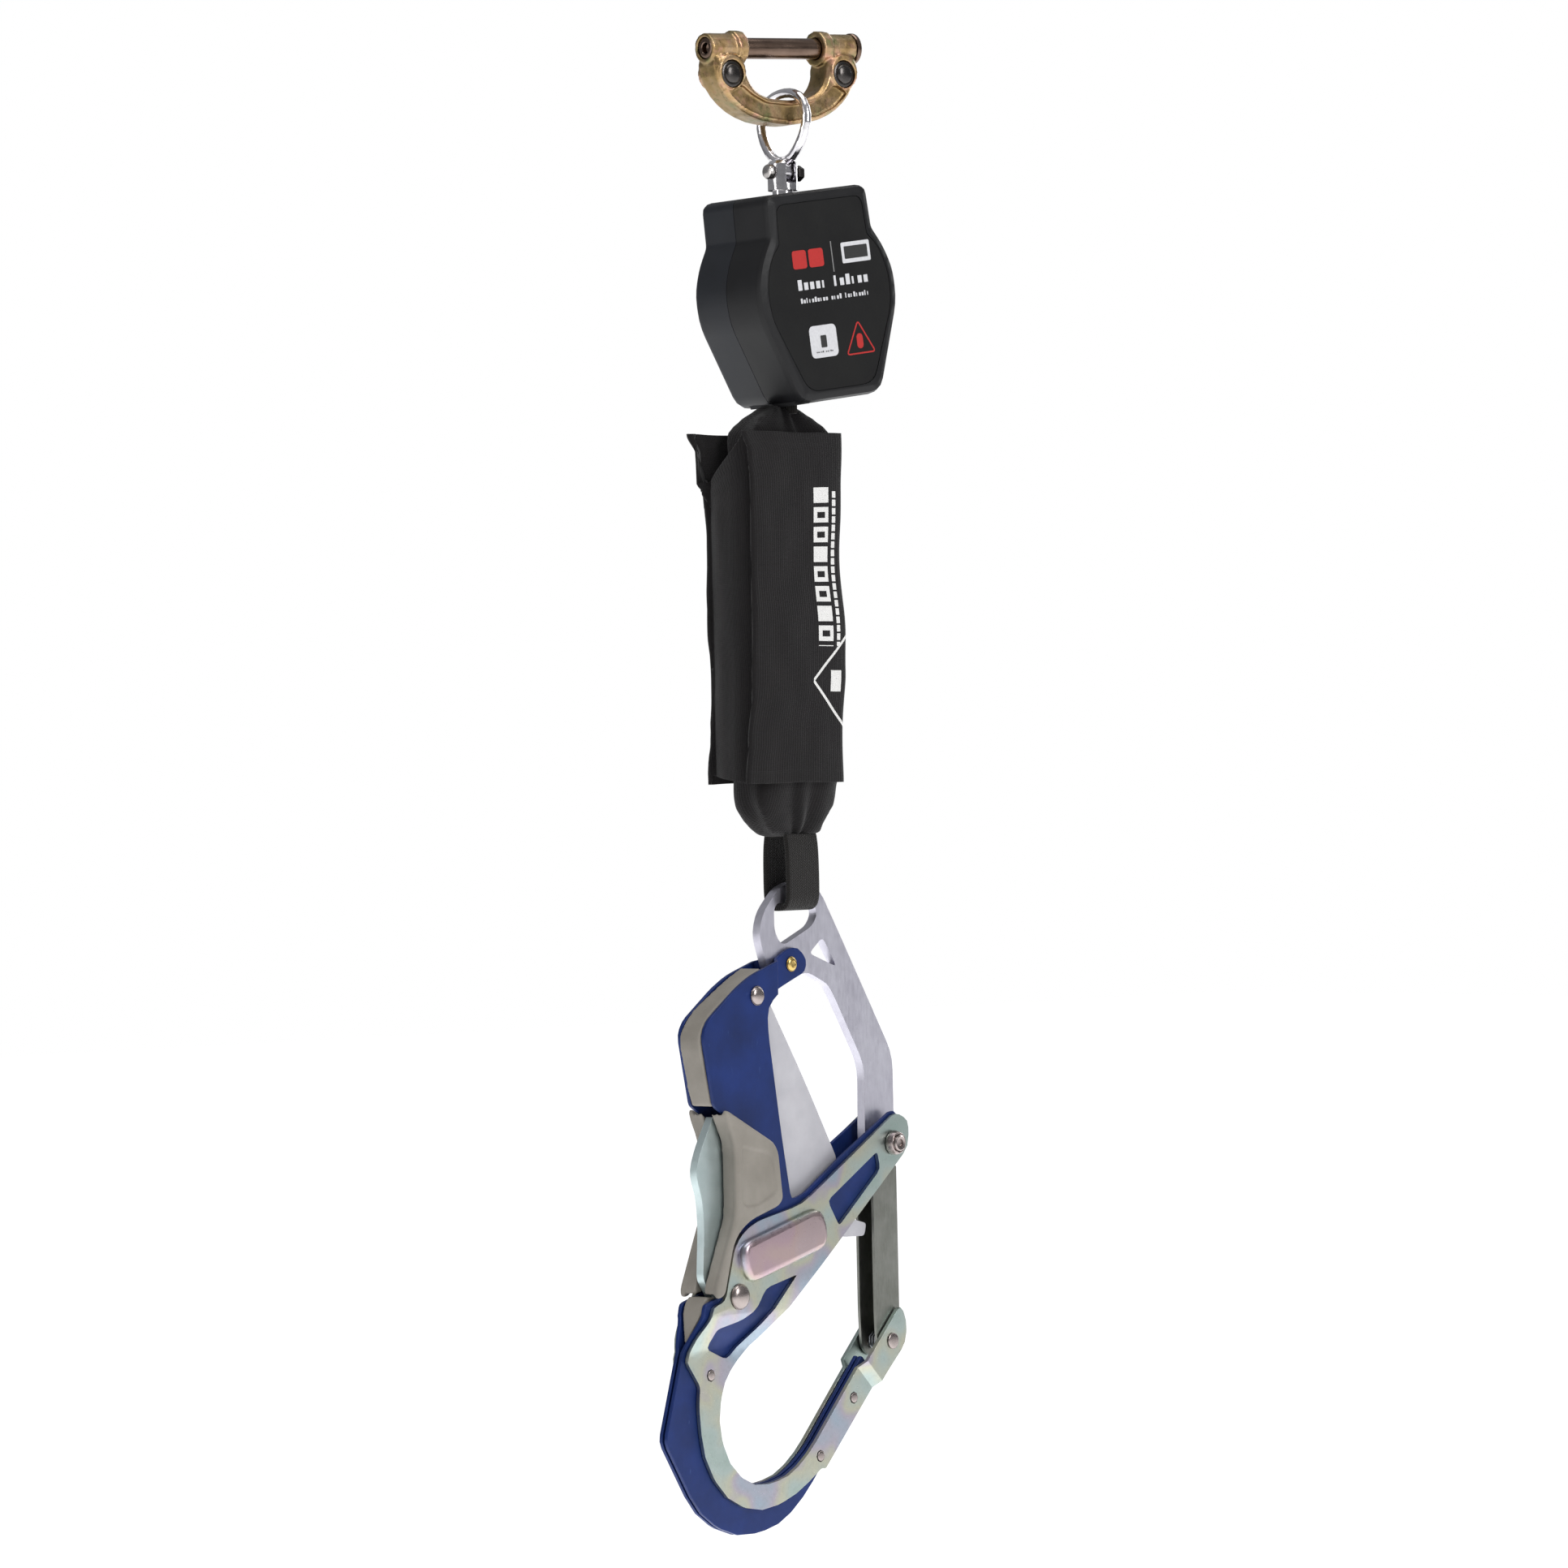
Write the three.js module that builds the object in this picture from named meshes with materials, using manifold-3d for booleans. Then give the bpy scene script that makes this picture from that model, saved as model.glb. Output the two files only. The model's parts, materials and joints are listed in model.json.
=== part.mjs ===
// Self retracting lifeline: a harness connector, a swivel, a housing with the web drum and its brake,
// a pouch with the energy absorber, and a large double action hook.
// Millimetres, +Z up, front towards -Y. The origin is the middle of the connector's pin.
import * as THREE from 'three';
import * as BufferGeometryUtils from 'three/addons/utils/BufferGeometryUtils.js';
import Module from 'manifold-3d';

const wasm = await Module();
wasm.setup();

const deg = THREE.MathUtils.degToRad;
const gap = 0.3; // clearance between touching pieces

// ---------------------------------------------------------------- sizes

const harnessPin = { radius: 5.2, clearSpan: 49, reach: 46.5, headRadius: 7.8, headLength: 2.6, socket: 2.9 };
const connector = { tilt: -3.2, depth: 15, bossRadius: 7.4, collarRadius: 8.8, collarLength: 6 };
const buttonTravel = 3;
const lockButton = { x: 36, z: -12, radius: 6.6, bossRadius: 8.5, bossReach: 8.6, dome: 2.2, body: 5.5 };

const swivel = { x: 2, eyeLean: 3.5, wire: 2.5, eyeHalfWidth: 17.2, eyeTop: -21.6, pinZ: -61, pinRadius: 2.6 };
const swivelFork = { radius: 7.4, slot: 3.2, top: -55.4, floor: -66.6, bottom: -70 };
const swivelPost = { radius: 5.2, bottom: -84 };

const housing = {
  roll: -8, topZ: -71.5, height: 103, halfDepth: 26, wall: 2.5, bevel: 4,
  neck: 33, shoulderZ: -21.3, belly: 44.5, bellyZ: -51, lowerZ: -62, foot: 26.5,
};
const drum = { x: 0, z: -51, flange: 27.5, hub: 10, webRadius: 24, webWidth: 25, flangeThick: 1.4 };
const framePlate = { inner: 15.6, thick: 1.8 };
const webExit = { x: -19.4, halfSlot: 3, halfWidth: 15 };

const line = { x: -3, thick: 2.6, width: 25, top: -173.2, bottom: -178 };
const pouch = { x: -4, top: -178.4, bottom: -388, halfWidth: 27.5, halfDepth: 13.2, skin: 1.6 };
const cover = { left: -36, right: 23, front: -16.6, back: 17, top: -190, bottom: -362, skin: 1.4 };
const webLoop = { x: -2.5, width: 24, thick: 3, top: -388.4, sag: -425, halfGap: 6 };

// The hook hangs from the underside of its eye bar; its plates lie in the hook's own XZ plane.
const hookTop = -421;
const hookTurn = 9;
const eyePlate = { halfThick: 2.4 };
const blue = { face: 8.6, thick: 2, lowFace: 2.6 };
const outer = { face: 11.1, thick: 2.2, lowFace: 5.1, clevisFace: 9 };
const embossedPad = { x: -28, z: -166.5, halfLength: 32, halfHeight: 10.5, tilt: 14, rise: 3.6, soft: 3 };
const grip = { face: 13, slot: 3 };
const jawBolt = { x: 57.5, z: -121.5, radius: 4 };
const gatePivot = { x: 56.7, z: -220.3, radius: 3 };
const triggerPivot = { x: -40, z: -44.2, radius: 2.6 };
const leverPivot = { x: -60.1, z: -189.1, radius: 3 };
const brassRivet = { x: -9.6, z: -29.9, radius: 2.2 };
const bowlRivets = [[-75.4, -226.2], [30.5, -246.5], [4.3, -272.9]].map(([x, z]) => ({ x, z, radius: 2.5 }));
const gateBar = { inner: 47.8, back: 66, halfWidth: 5.9, skin: 1.5, top: -133.4 };

// ---------------------------------------------------------------- finishes

function finish(color, roughness, metalness) {
  return new THREE.MeshStandardMaterial({ color, roughness, metalness });
}

const yellowZinc = finish(0xa58e6d, 0.42, 1);
const darkPin = finish(0x504138, 0.32, 1);
const darkSteel = finish(0x5e5a5a, 0.28, 1);
const polished = finish(0xd4cfd3, 0.18, 1);
const brightSteel = finish(0x9c9795, 0.22, 1);
const blackPlastic = finish(0x262628, 0.5, 0);
const labelFilm = finish(0x202020, 0.6, 0);
const zincPlate = finish(0xa0a6a8, 0.38, 1);
const springSteel = finish(0x8a8d92, 0.3, 1);
const bluePaint = finish(0x1e376d, 0.38, 0.35);
const stampedSteel = finish(0xa4a5ac, 0.42, 1);
const greyGrip = finish(0x8c8783, 0.62, 0);
const triggerPaint = finish(0xadacb2, 0.55, 0);
const gateSteel = finish(0x737572, 0.4, 1);
const brass = finish(0xd7c89c, 0.3, 1);
const rivetSteel = finish(0x7a7175, 0.3, 1);
const blackFabric = finish(0x282627, 0.92, 0);
const blackWeb = finish(0x2e2a29, 0.9, 0);

// ---------------------------------------------------------------- solid modelling

// A geometry with no normals comes from a join or a loft, so its vertices are shared already.
function sharedVertices(geometry) {
  if (!geometry.attributes.normal) return geometry;
  const bare = geometry.clone();
  bare.deleteAttribute('normal');
  bare.deleteAttribute('uv');
  return BufferGeometryUtils.mergeVertices(bare, 1e-4);
}

function toSolid(geometry) {
  const merged = sharedVertices(geometry);
  const triangles = [];
  for (let corner = 0; corner < merged.index.count; corner += 3) {
    const [a, b, c] = [0, 1, 2].map((step) => merged.index.getX(corner + step));
    if (a !== b && b !== c && c !== a) triangles.push(a, b, c);
  }
  const mesh = new wasm.Mesh({
    numProp: 3,
    vertProperties: Float32Array.from(merged.attributes.position.array),
    triVerts: Uint32Array.from(triangles),
  });
  return new wasm.Manifold(mesh);
}

function toGeometry(solid) {
  const mesh = solid.getMesh();
  const geometry = new THREE.BufferGeometry();
  geometry.setAttribute('position', new THREE.BufferAttribute(mesh.vertProperties, 3));
  geometry.setIndex(new THREE.BufferAttribute(mesh.triVerts, 1));
  return geometry;
}

function join(...geometries) {
  return toGeometry(geometries.map(toSolid).reduce((whole, next) => whole.add(next)));
}

function cut(base, ...tools) {
  return toGeometry(tools.map(toSolid).reduce((whole, tool) => whole.subtract(tool), toSolid(base)));
}

function common(first, second) {
  return toGeometry(toSolid(first).intersect(toSolid(second)));
}

// A closed outline; a point is [x, y] or [x, y, radius of its rounded corner].
function outline(points, radius = 0) {
  const shape = new THREE.Shape();
  points.forEach(([x, y, ownRadius = radius], index) => {
    const corner = new THREE.Vector2(x, y);
    const before = new THREE.Vector2(...points.at(index - 1).slice(0, 2)).sub(corner);
    const after = new THREE.Vector2(...points[(index + 1) % points.length].slice(0, 2)).sub(corner);
    const reach = Math.min(ownRadius, 0.45 * before.length(), 0.45 * after.length());
    const start = corner.clone().addScaledVector(before.normalize(), reach);
    const end = corner.clone().addScaledVector(after.normalize(), reach);
    if (index === 0) shape.moveTo(start.x, start.y);
    else shape.lineTo(start.x, start.y);
    if (reach > 0) shape.quadraticCurveTo(x, y, end.x, end.y);
  });
  return shape;
}

function withHoles(shape, ...holes) {
  shape.holes.push(...holes);
  return shape;
}

// A tool for a round hole along Y that stays clear of a shaft of the given radius.
function boreY(x, z, radius, clearance = gap, sides = 8) {
  return rodY((radius + clearance) / Math.cos(Math.PI / sides), -40, 40, x, z, sides);
}

// A plate drawn in XZ that fills Y from near to far.
function plate(shape, near, far, { segments = 3, bevel = 0, bevelSegments = 2 } = {}) {
  const geometry = new THREE.ExtrudeGeometry(shape, {
    depth: far - near - 2 * bevel,
    curveSegments: segments,
    bevelEnabled: bevel > 0,
    bevelSize: bevel,
    bevelOffset: -bevel,
    bevelThickness: bevel,
    bevelSegments,
  });
  return geometry.rotateX(Math.PI / 2).translate(0, far - bevel, 0);
}

// A strip whose section is drawn in YZ and that fills X from left to right.
function bar(section, left, right, segments = 3) {
  const geometry = new THREE.ExtrudeGeometry(outline(section), {
    depth: right - left,
    curveSegments: segments,
    bevelEnabled: false,
  });
  return geometry.rotateY(Math.PI / 2).rotateX(Math.PI / 2).translate(left, 0, 0);
}

function box(x0, x1, y0, y1, z0, z1) {
  const geometry = new THREE.BoxGeometry(x1 - x0, y1 - y0, z1 - z0);
  return geometry.translate((x0 + x1) / 2, (y0 + y1) / 2, (z0 + z1) / 2);
}

function rodX(radius, x0, x1, y = 0, z = 0, sides = 12) {
  const geometry = new THREE.CylinderGeometry(radius, radius, x1 - x0, sides);
  return geometry.rotateZ(Math.PI / 2).translate((x0 + x1) / 2, y, z);
}

function rodY(radius, y0, y1, x = 0, z = 0, sides = 12) {
  const geometry = new THREE.CylinderGeometry(radius, radius, y1 - y0, sides);
  return geometry.translate(x, (y0 + y1) / 2, z);
}

function rodZ(radius, z0, z1, x = 0, y = 0, sides = 14) {
  const geometry = new THREE.CylinderGeometry(radius, radius, z1 - z0, sides);
  return geometry.rotateX(Math.PI / 2).translate(x, y, (z0 + z1) / 2);
}

// A turned piece about Y: the profile gives [radius, y] from one end of the axis to the other.
function turnedY(profile, x = 0, z = 0, sides = 12) {
  const points = profile.map(([radius, y]) => new THREE.Vector2(radius, y));
  return new THREE.LatheGeometry(points, sides).translate(x, 0, z);
}

function turnedX(profile, sides = 12) {
  return turnedY(profile, 0, 0, sides).rotateZ(-Math.PI / 2);
}

// The half profile of a low dome of the given radius and height standing on level y.
function domeProfile(radius, height, y, steps = 4) {
  return Array.from({ length: steps }, (_, index) => {
    const angle = (Math.PI / 2) * (index / steps);
    return [radius * Math.cos(angle), y + height * Math.sin(angle)];
  }).concat([[0, y + height]]);
}

// A shank through the hook's plates with a domed head at each end.
function domedRivet({ x, z, radius: shank }, head, face, height) {
  const rise = domeProfile(head, height, face, 3);
  const fall = rise.map(([radius, y]) => [radius, -y]).reverse();
  return turnedY([...fall, [shank, -face], [shank, face], ...rise], x, z, 10);
}

function wireAlong(points, radius, steps, sides = 6) {
  const path = new THREE.CatmullRomCurve3(points);
  const section = new THREE.Shape().absarc(0, 0, radius, 0, 2 * Math.PI);
  return new THREE.ExtrudeGeometry(section, { steps, curveSegments: sides, extrudePath: path });
}

// A coil spring about an axis along Y.
function coilSpring(radius, wire, turns, y0, y1) {
  const stepsPerTurn = 7;
  const count = turns * stepsPerTurn;
  const points = Array.from({ length: count + 1 }, (_, index) => {
    const angle = (2 * Math.PI * index) / stepsPerTurn;
    return new THREE.Vector3(
      radius * Math.cos(angle),
      y0 + ((y1 - y0) * index) / count,
      radius * Math.sin(angle),
    );
  });
  return wireAlong(points, wire, count, 3);
}

// A skin lofted through rounded rectangles; each level gives z, centre x, half width and half depth.
function loft(levels, corner = 0.35, perCorner = 3) {
  const rings = levels.map(({ z, x, halfWidth, halfDepth }) => {
    const radius = Math.min(halfWidth, halfDepth) * 2 * corner;
    return [[1, 1], [-1, 1], [-1, -1], [1, -1]].flatMap(([sx, sy], quarter) =>
      Array.from({ length: perCorner }, (_, index) => {
        const angle = (Math.PI / 2) * (quarter + index / (perCorner - 1));
        const px = x + sx * (halfWidth - radius) + radius * Math.cos(angle);
        const py = sy * (halfDepth - radius) + radius * Math.sin(angle);
        return [px, py, z];
      }));
  });
  const around = rings[0].length;
  const positions = rings.flat(2);
  const triangles = [];
  for (let level = 0; level + 1 < rings.length; level += 1) {
    for (let index = 0; index < around; index += 1) {
      const low = level * around + index;
      const next = level * around + ((index + 1) % around);
      triangles.push(low, next, next + around, low, next + around, low + around);
    }
  }
  const last = (rings.length - 1) * around;
  for (let index = 1; index + 1 < around; index += 1) {
    triangles.push(0, index + 1, index, last, last + index, last + index + 1);
  }
  const geometry = new THREE.BufferGeometry();
  geometry.setAttribute('position', new THREE.Float32BufferAttribute(positions, 3));
  geometry.setIndex(triangles);
  return geometry;
}

function mirroredY(geometry) {
  const flipped = geometry.clone().scale(1, -1, 1);
  const index = flipped.index;
  if (index) {
    for (let corner = 0; corner < index.count; corner += 3) {
      const first = index.getX(corner);
      index.setX(corner, index.getX(corner + 1));
      index.setX(corner + 1, first);
    }
  }
  return flipped;
}

function part(name, geometry, material) {
  const mesh = new THREE.Mesh(geometry, material);
  mesh.name = name;
  return mesh;
}

function group(...members) {
  const holder = new THREE.Group();
  holder.add(...members);
  return holder;
}

// ---------------------------------------------------------------- harness connector

function connectorFrame() {
  const outside = [[46, -3], [45.5, -14], [40, -23.5], [31, -31], [19, -36], [0, -38.4]];
  const inside = [[0, -26.2], [13, -25], [21, -21.5], [25.5, -15], [27, -3]];
  const panelOutside = [[38, -22.5], [29.5, -29.3], [18, -33.8], [0, -36.2]];
  const panelInside = [[0, -28.4], [14.5, -27.2], [23.5, -23], [29.5, -18.5]];
  const leftOf = (points) => points.filter(([x]) => x > 0).map(([x, z]) => [-x, z]).reverse();
  const shape = outline([...outside, ...leftOf(outside), ...leftOf(inside), ...inside], 6);
  const panel = outline([...panelOutside, ...leftOf(panelOutside), ...leftOf(panelInside), ...panelInside], 2);
  const half = connector.depth / 2;
  let body = plate(shape, -half, half, { segments: 2, bevel: 1.6, bevelSegments: 1 });
  for (const side of [-1, 1]) {
    const near = side * (harnessPin.clearSpan / 2);
    const collarEnd = near + side * connector.collarLength;
    const far = side * harnessPin.reach;
    const ordered = (from, to) => [Math.min(from, to), Math.max(from, to)];
    body = join(
      body,
      rodX(connector.bossRadius, ...ordered(near, far)),
      rodX(connector.collarRadius, ...ordered(near, collarEnd)),
      rodY(lockButton.bossRadius, -lockButton.bossReach, lockButton.bossReach, side * lockButton.x, lockButton.z, 16),
    );
  }
  const recess = 2;
  const depth = connector.depth / 2 + 1;
  const bores = [-1, 1].map((side) =>
    rodY(lockButton.radius + gap, -12, 12, side * lockButton.x, lockButton.z - 1.2, 16));
  return cut(
    body,
    rodX(harnessPin.radius + gap, -60, 60, 0, 0, 16),
    plate(panel, -depth, -depth + recess + 1),
    plate(panel, depth - recess - 1, depth),
    ...bores,
  );
}

function connectorPin() {
  const { radius, reach, headRadius, headLength, socket } = harnessPin;
  const shank = turnedX([
    [0, -reach + 0.5], [radius - 0.8, -reach + 0.5], [radius, -reach + 1.3], [radius, reach + gap],
    [headRadius, reach + gap], [headRadius, reach + headLength], [headRadius - 0.6, reach + headLength + 0.6],
    [0, reach + headLength + 0.6],
  ]);
  return cut(shank, rodX(socket, -reach - 1, -reach + 4, 0, 0, 6));
}

function buttonBody(side) {
  const { x, z, radius, body, bossReach, dome } = lockButton;
  const front = domeProfile(radius, dome, bossReach - 0.8);
  const profile = [[0, bossReach - 0.8 - body], [radius, bossReach - 0.8 - body], ...front];
  return turnedY(profile, 0, 0, 18).rotateZ(Math.PI).translate(side * x, 0, z - 1.2);
}

function buttonCap(side) {
  const { x, z, radius, bossReach, dome } = lockButton;
  const front = domeProfile(radius, dome, bossReach - 0.8);
  return turnedY([[0, bossReach - 3.4], [radius, bossReach - 3.4], ...front], side * x, z - 1.2, 18);
}

function buildConnector() {
  const { x, z, bossReach, body } = lockButton;
  const springFront = -bossReach + 0.8 + body + buttonTravel + 2 * gap;
  const springBack = bossReach - 3.4 - 0.6;
  const holder = group(
    part('connector_frame', connectorFrame(), yellowZinc),
    part('connector_pin', connectorPin(), darkPin),
  );
  for (const [word, side] of [['left', -1], ['right', 1]]) {
    const spring = coilSpring(4, 0.5, 2, springFront, springBack).translate(side * x, 0, z - 1.2);
    holder.add(
      part(`lock_button_${word}`, buttonBody(side), darkSteel),
      part(`lock_cap_${word}`, buttonCap(side), darkSteel),
      part(`lock_spring_${word}`, spring, springSteel),
    );
  }
  holder.rotation.y = deg(connector.tilt);
  return holder;
}

// ---------------------------------------------------------------- swivel

function swivelEye() {
  const { wire, eyeHalfWidth, eyeTop } = swivel;
  const route = [
    [0, eyeTop], [0.72, eyeTop - 3.4], [1, eyeTop - 12.5], [0.93, eyeTop - 20], [0.6, eyeTop - 29],
    [0.24, eyeTop - 33.5],
  ];
  const right = route.map(([y, z]) => new THREE.Vector3(0, y * eyeHalfWidth, z));
  const left = route.slice(1).map(([y, z]) => new THREE.Vector3(0, -y * eyeHalfWidth, z)).reverse();
  const path = new THREE.CatmullRomCurve3([...right, ...left], true);
  const section = new THREE.Shape().absarc(0, 0, wire, 0, 2 * Math.PI);
  const ring = new THREE.ExtrudeGeometry(section, { steps: 28, curveSegments: 4, extrudePath: path });
  ring.translate(0, 0, -swivel.pinZ).rotateY(deg(swivel.eyeLean)).translate(0, 0, swivel.pinZ);
  const tongue = join(rodX(4.6, -wire, wire, 0, swivel.pinZ, 16), box(-wire, wire, -4.2, 4.2, swivel.pinZ, -54.5));
  return cut(join(ring, tongue), crossBore());
}

function crossBore() {
  const sides = 12;
  return rodX((swivel.pinRadius + 0.15) / Math.cos(Math.PI / sides), -20, 20, 0, swivel.pinZ, sides);
}

function swivelPinShape() {
  const head = [[0, -11], [1.8, -10.8], [3.4, -9.8], [3.8, -8]];
  const { pinRadius } = swivel;
  return turnedX([...head, [pinRadius, -8], [pinRadius, 10.8], [0, 10.8]], 16).translate(0, 0, swivel.pinZ);
}

function swivelNutShape() {
  const nut = rodX(4.1, 8, 11.4, 0, swivel.pinZ, 6);
  return cut(nut, crossBore());
}

// The fork holds the ring's tongue; the shaft under it turns in the housing.
function swivelPostShape() {
  const { radius, bottom } = swivelPost;
  const fork = swivelFork;
  const body = join(
    rodZ(fork.radius, fork.bottom, fork.top - 1.5, 0, 0, 32),
    new THREE.CylinderGeometry(fork.radius - 1.2, fork.radius, 1.5, 32)
      .rotateX(Math.PI / 2).translate(0, 0, fork.top - 0.75),
    rodZ(radius, bottom, fork.bottom + 1, 0, 0, 24),
    rodZ(radius + 3.4, bottom - 2.4, bottom, 0, 0, 24),
  );
  return cut(body, box(-fork.slot, fork.slot, -9, 9, fork.floor, fork.top + 5), crossBore());
}

function swivelBushingShape() {
  const { radius, bottom } = swivelPost;
  const ring = (outside, z0, z1) => cut(
    rodZ(outside, z0, z1, 0, 0, 24),
    rodZ(radius + 0.2, z0 - 1, z1 + 1, 0, 0, 24),
  );
  return join(ring(radius + 2, bottom + gap, bottom + 6), ring(radius + 4.4, bottom + gap, bottom + 2.2));
}

function buildSwivel() {
  const holder = group(
    part('swivel_eye', swivelEye(), polished),
    part('swivel_cross_pin', swivelPinShape(), brightSteel),
    part('swivel_nut', swivelNutShape(), darkSteel),
    part('swivel_post', swivelPostShape(), polished),
    part('swivel_bushing', swivelBushingShape(), brass),
  );
  holder.position.x = swivel.x;
  return holder;
}

// ---------------------------------------------------------------- housing

function housingOutline(inset) {
  const { neck, shoulderZ, belly, bellyZ, lowerZ, foot, height } = housing;
  const right = [
    [neck - inset, -inset, 5], [neck + 0.8 - inset, shoulderZ - 0.6 * inset, 1.5],
    [belly - 4.6 - inset, shoulderZ - 9.5, 6], [belly - inset, bellyZ + 8, 9],
    [belly - inset, lowerZ + 3, 9], [foot - inset, -height + inset, 7],
  ];
  const left = right.map(([x, z, radius]) => [-x, z, radius]).reverse();
  return outline([...right, ...left]);
}

const screwPlaces = [[-27, -9], [27, -9], [-30.5, -80], [30.5, -80]];

function housingShell(side) {
  const { halfDepth, wall, bevel } = housing;
  const full = plate(housingOutline(0), -halfDepth, halfDepth, { segments: 3, bevel, bevelSegments: 2 });
  const inner = plate(housingOutline(wall), -halfDepth + wall, halfDepth - wall, { segments: 2 });
  const bosses = screwPlaces.map(([x, z]) => rodY(3.9, -halfDepth + 1, halfDepth - 1, x, z, 8));
  const keep = side < 0 ? box(-60, 60, -30, -0.15, -120, 10) : box(-60, 60, 0.15, 30, -120, 10);
  const solid = common(join(cut(full, inner), ...bosses), keep);
  const exit = box(
    webExit.x - webExit.halfSlot - 2.4, webExit.x + webExit.halfSlot + 2.4,
    -webExit.halfWidth - 2.4, webExit.halfWidth + 2.4, -housing.height - 3, -housing.height + 6,
  );
  const postHole = rodZ(swivelPost.radius + 0.5, -8, 8, 0, 0, 16).rotateY(-deg(housing.roll));
  const threads = screwPlaces.map(([x, z]) => rodY(1.8, -15, 30, x, z, 8));
  const sinks = screwPlaces.map(([x, z]) => rodY(3.1, halfDepth - 3, 40, x, z, 8));
  const labelPocket = plate(labelOutline(0), -halfDepth - 1, -halfDepth + 0.8, { segments: 4 });
  return cut(solid, exit, postHole, ...threads, ...sinks, labelPocket);
}

function labelOutline(extra) {
  return housingOutline(5.2 + extra);
}

function frontLabel() {
  const face = -housing.halfDepth;
  return plate(labelOutline(gap), face + 0.1, face + 0.7, { segments: 4 });
}

function housingScrew([x, z]) {
  const face = housing.halfDepth;
  const profile = [[0, -12], [1.5, -12], [1.5, face - 2.6], [2.8, face - 2.6], [2.8, face - 1], [0, face - 1]];
  const body = turnedY(profile, x, z, 8);
  return cut(body, rodY(1.3, face - 2.2, face + 1, x, z, 6));
}

function webGuide() {
  const { x, halfSlot, halfWidth } = webExit;
  const z1 = -housing.height + 5.6;
  const outside = box(x - halfSlot - 2, x + halfSlot + 2, -halfWidth - 2, halfWidth + 2, -housing.height - gap, z1);
  const slot = box(x - halfSlot, x + halfSlot, -halfWidth, halfWidth, -housing.height - 3, z1 + 2);
  return cut(outside, slot);
}

// ---------------------------------------------------------------- drum, brake and spring

function drumShape() {
  const half = drum.webWidth / 2 + 0.5;
  const body = turnedY([
    [0, -half - drum.flangeThick], [drum.flange, -half - drum.flangeThick], [drum.flange, -half],
    [drum.hub, -half], [drum.hub, half], [drum.flange, half], [drum.flange, half + drum.flangeThick],
    [0, half + drum.flangeThick],
  ], drum.x, drum.z, 28);
  return cut(body, rodY(4.3, -30, 30, drum.x, drum.z, 16));
}

function woundWeb() {
  const roll = rodY(drum.webRadius, -drum.webWidth / 2, drum.webWidth / 2, drum.x, drum.z, 28);
  return cut(roll, rodY(drum.hub + gap, -30, 30, drum.x, drum.z, 20));
}

function webRun() {
  const top = [drum.x - drum.webRadius - 0.5, drum.z - 2];
  const bottom = [webExit.x - 0.6, -housing.height + 4];
  const length = Math.hypot(top[0] - bottom[0], top[1] - bottom[1]);
  const lean = Math.atan2(bottom[0] - top[0], top[1] - bottom[1]);
  const half = drum.webWidth / 2;
  return box(-1.1, 0, -half, half, -length, 0).rotateY(-lean).translate(top[0], 0, top[1]);
}

function framePlateShape(side) {
  const shape = outline([[-19, -8], [19, -8], [33, -38], [33, -66], [20, -86], [-12, -86], [-33, -66], [-33, -38]], 5);
  const near = side < 0 ? -framePlate.inner - framePlate.thick : framePlate.inner;
  const body = plate(shape, near, near + framePlate.thick);
  return cut(body, rodY(4.3, -30, 30, drum.x, drum.z, 16), box(-11, 11, -30, 30, -20, 0));
}

function drumShaft() {
  const shank = rodY(4, -22, 22, drum.x, drum.z, 16);
  return join(shank, rodY(5.6, 18.4, 19.4, drum.x, drum.z, 16));
}

const pawlAngles = [35, 215];
const pawlPegRadius = 11.5;

function pawlPlate() {
  const body = cut(rodY(15, -19.4, -17.9, drum.x, drum.z, 24), rodY(4.3, -30, 0, drum.x, drum.z, 16));
  const pegs = pawlAngles.map((angle) => {
    const x = drum.x + pawlPegRadius * Math.cos(deg(angle));
    const z = drum.z + pawlPegRadius * Math.sin(deg(angle));
    return rodY(1.6, -22.3, -18.5, x, z, 10);
  });
  return join(body, ...pegs);
}

function pawlShape(angle) {
  const shape = outline([[-3, -3], [2.6, -3], [3.2, 3], [1.5, 12.5], [3, 17], [-1.6, 14.5], [-3.4, 4]], 1.2);
  const body = cut(plate(shape, -21.8, -19.7), rodY(1.75, -30, 0, 0, 0, 10));
  const lean = deg(angle + 12);
  const x = drum.x + pawlPegRadius * Math.cos(deg(angle));
  const z = drum.z + pawlPegRadius * Math.sin(deg(angle));
  return body.rotateY(-lean).translate(x, 0, z);
}

function ratchetRing() {
  const teeth = 12;
  const inside = Array.from({ length: teeth }, (_, index) => {
    const angle = (2 * Math.PI * index) / teeth;
    const next = angle + (2 * Math.PI * 0.82) / teeth;
    return [[22.2 * Math.cos(angle), 22.2 * Math.sin(angle)], [25 * Math.cos(next), 25 * Math.sin(next)]];
  }).flat();
  const ring = cut(rodY(27.5, -22.4, -18, 0, 0, 28), plate(outline(inside), -30, -10));
  return ring.translate(drum.x, 0, drum.z);
}

function powerSpring() {
  const turns = 4;
  const steps = turns * 10;
  const inner = 7;
  const pitch = 4;
  const thick = 0.9;
  const ring = (shift) => Array.from({ length: steps + 1 }, (_, index) => {
    const angle = (2 * Math.PI * turns * index) / steps;
    const radius = inner + shift + (pitch * angle) / (2 * Math.PI);
    return [radius * Math.cos(angle), radius * Math.sin(angle)];
  });
  const strip = outline([...ring(thick), ...ring(0).reverse()]);
  return plate(strip, 18.6, 21.6).translate(drum.x, 0, drum.z);
}

function springCup() {
  const cup = cut(rodY(27.5, 17.9, 23, 0, 0, 28), rodY(26, 17, 22.2, 0, 0, 28));
  return cup.translate(drum.x, 0, drum.z);
}

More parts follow.
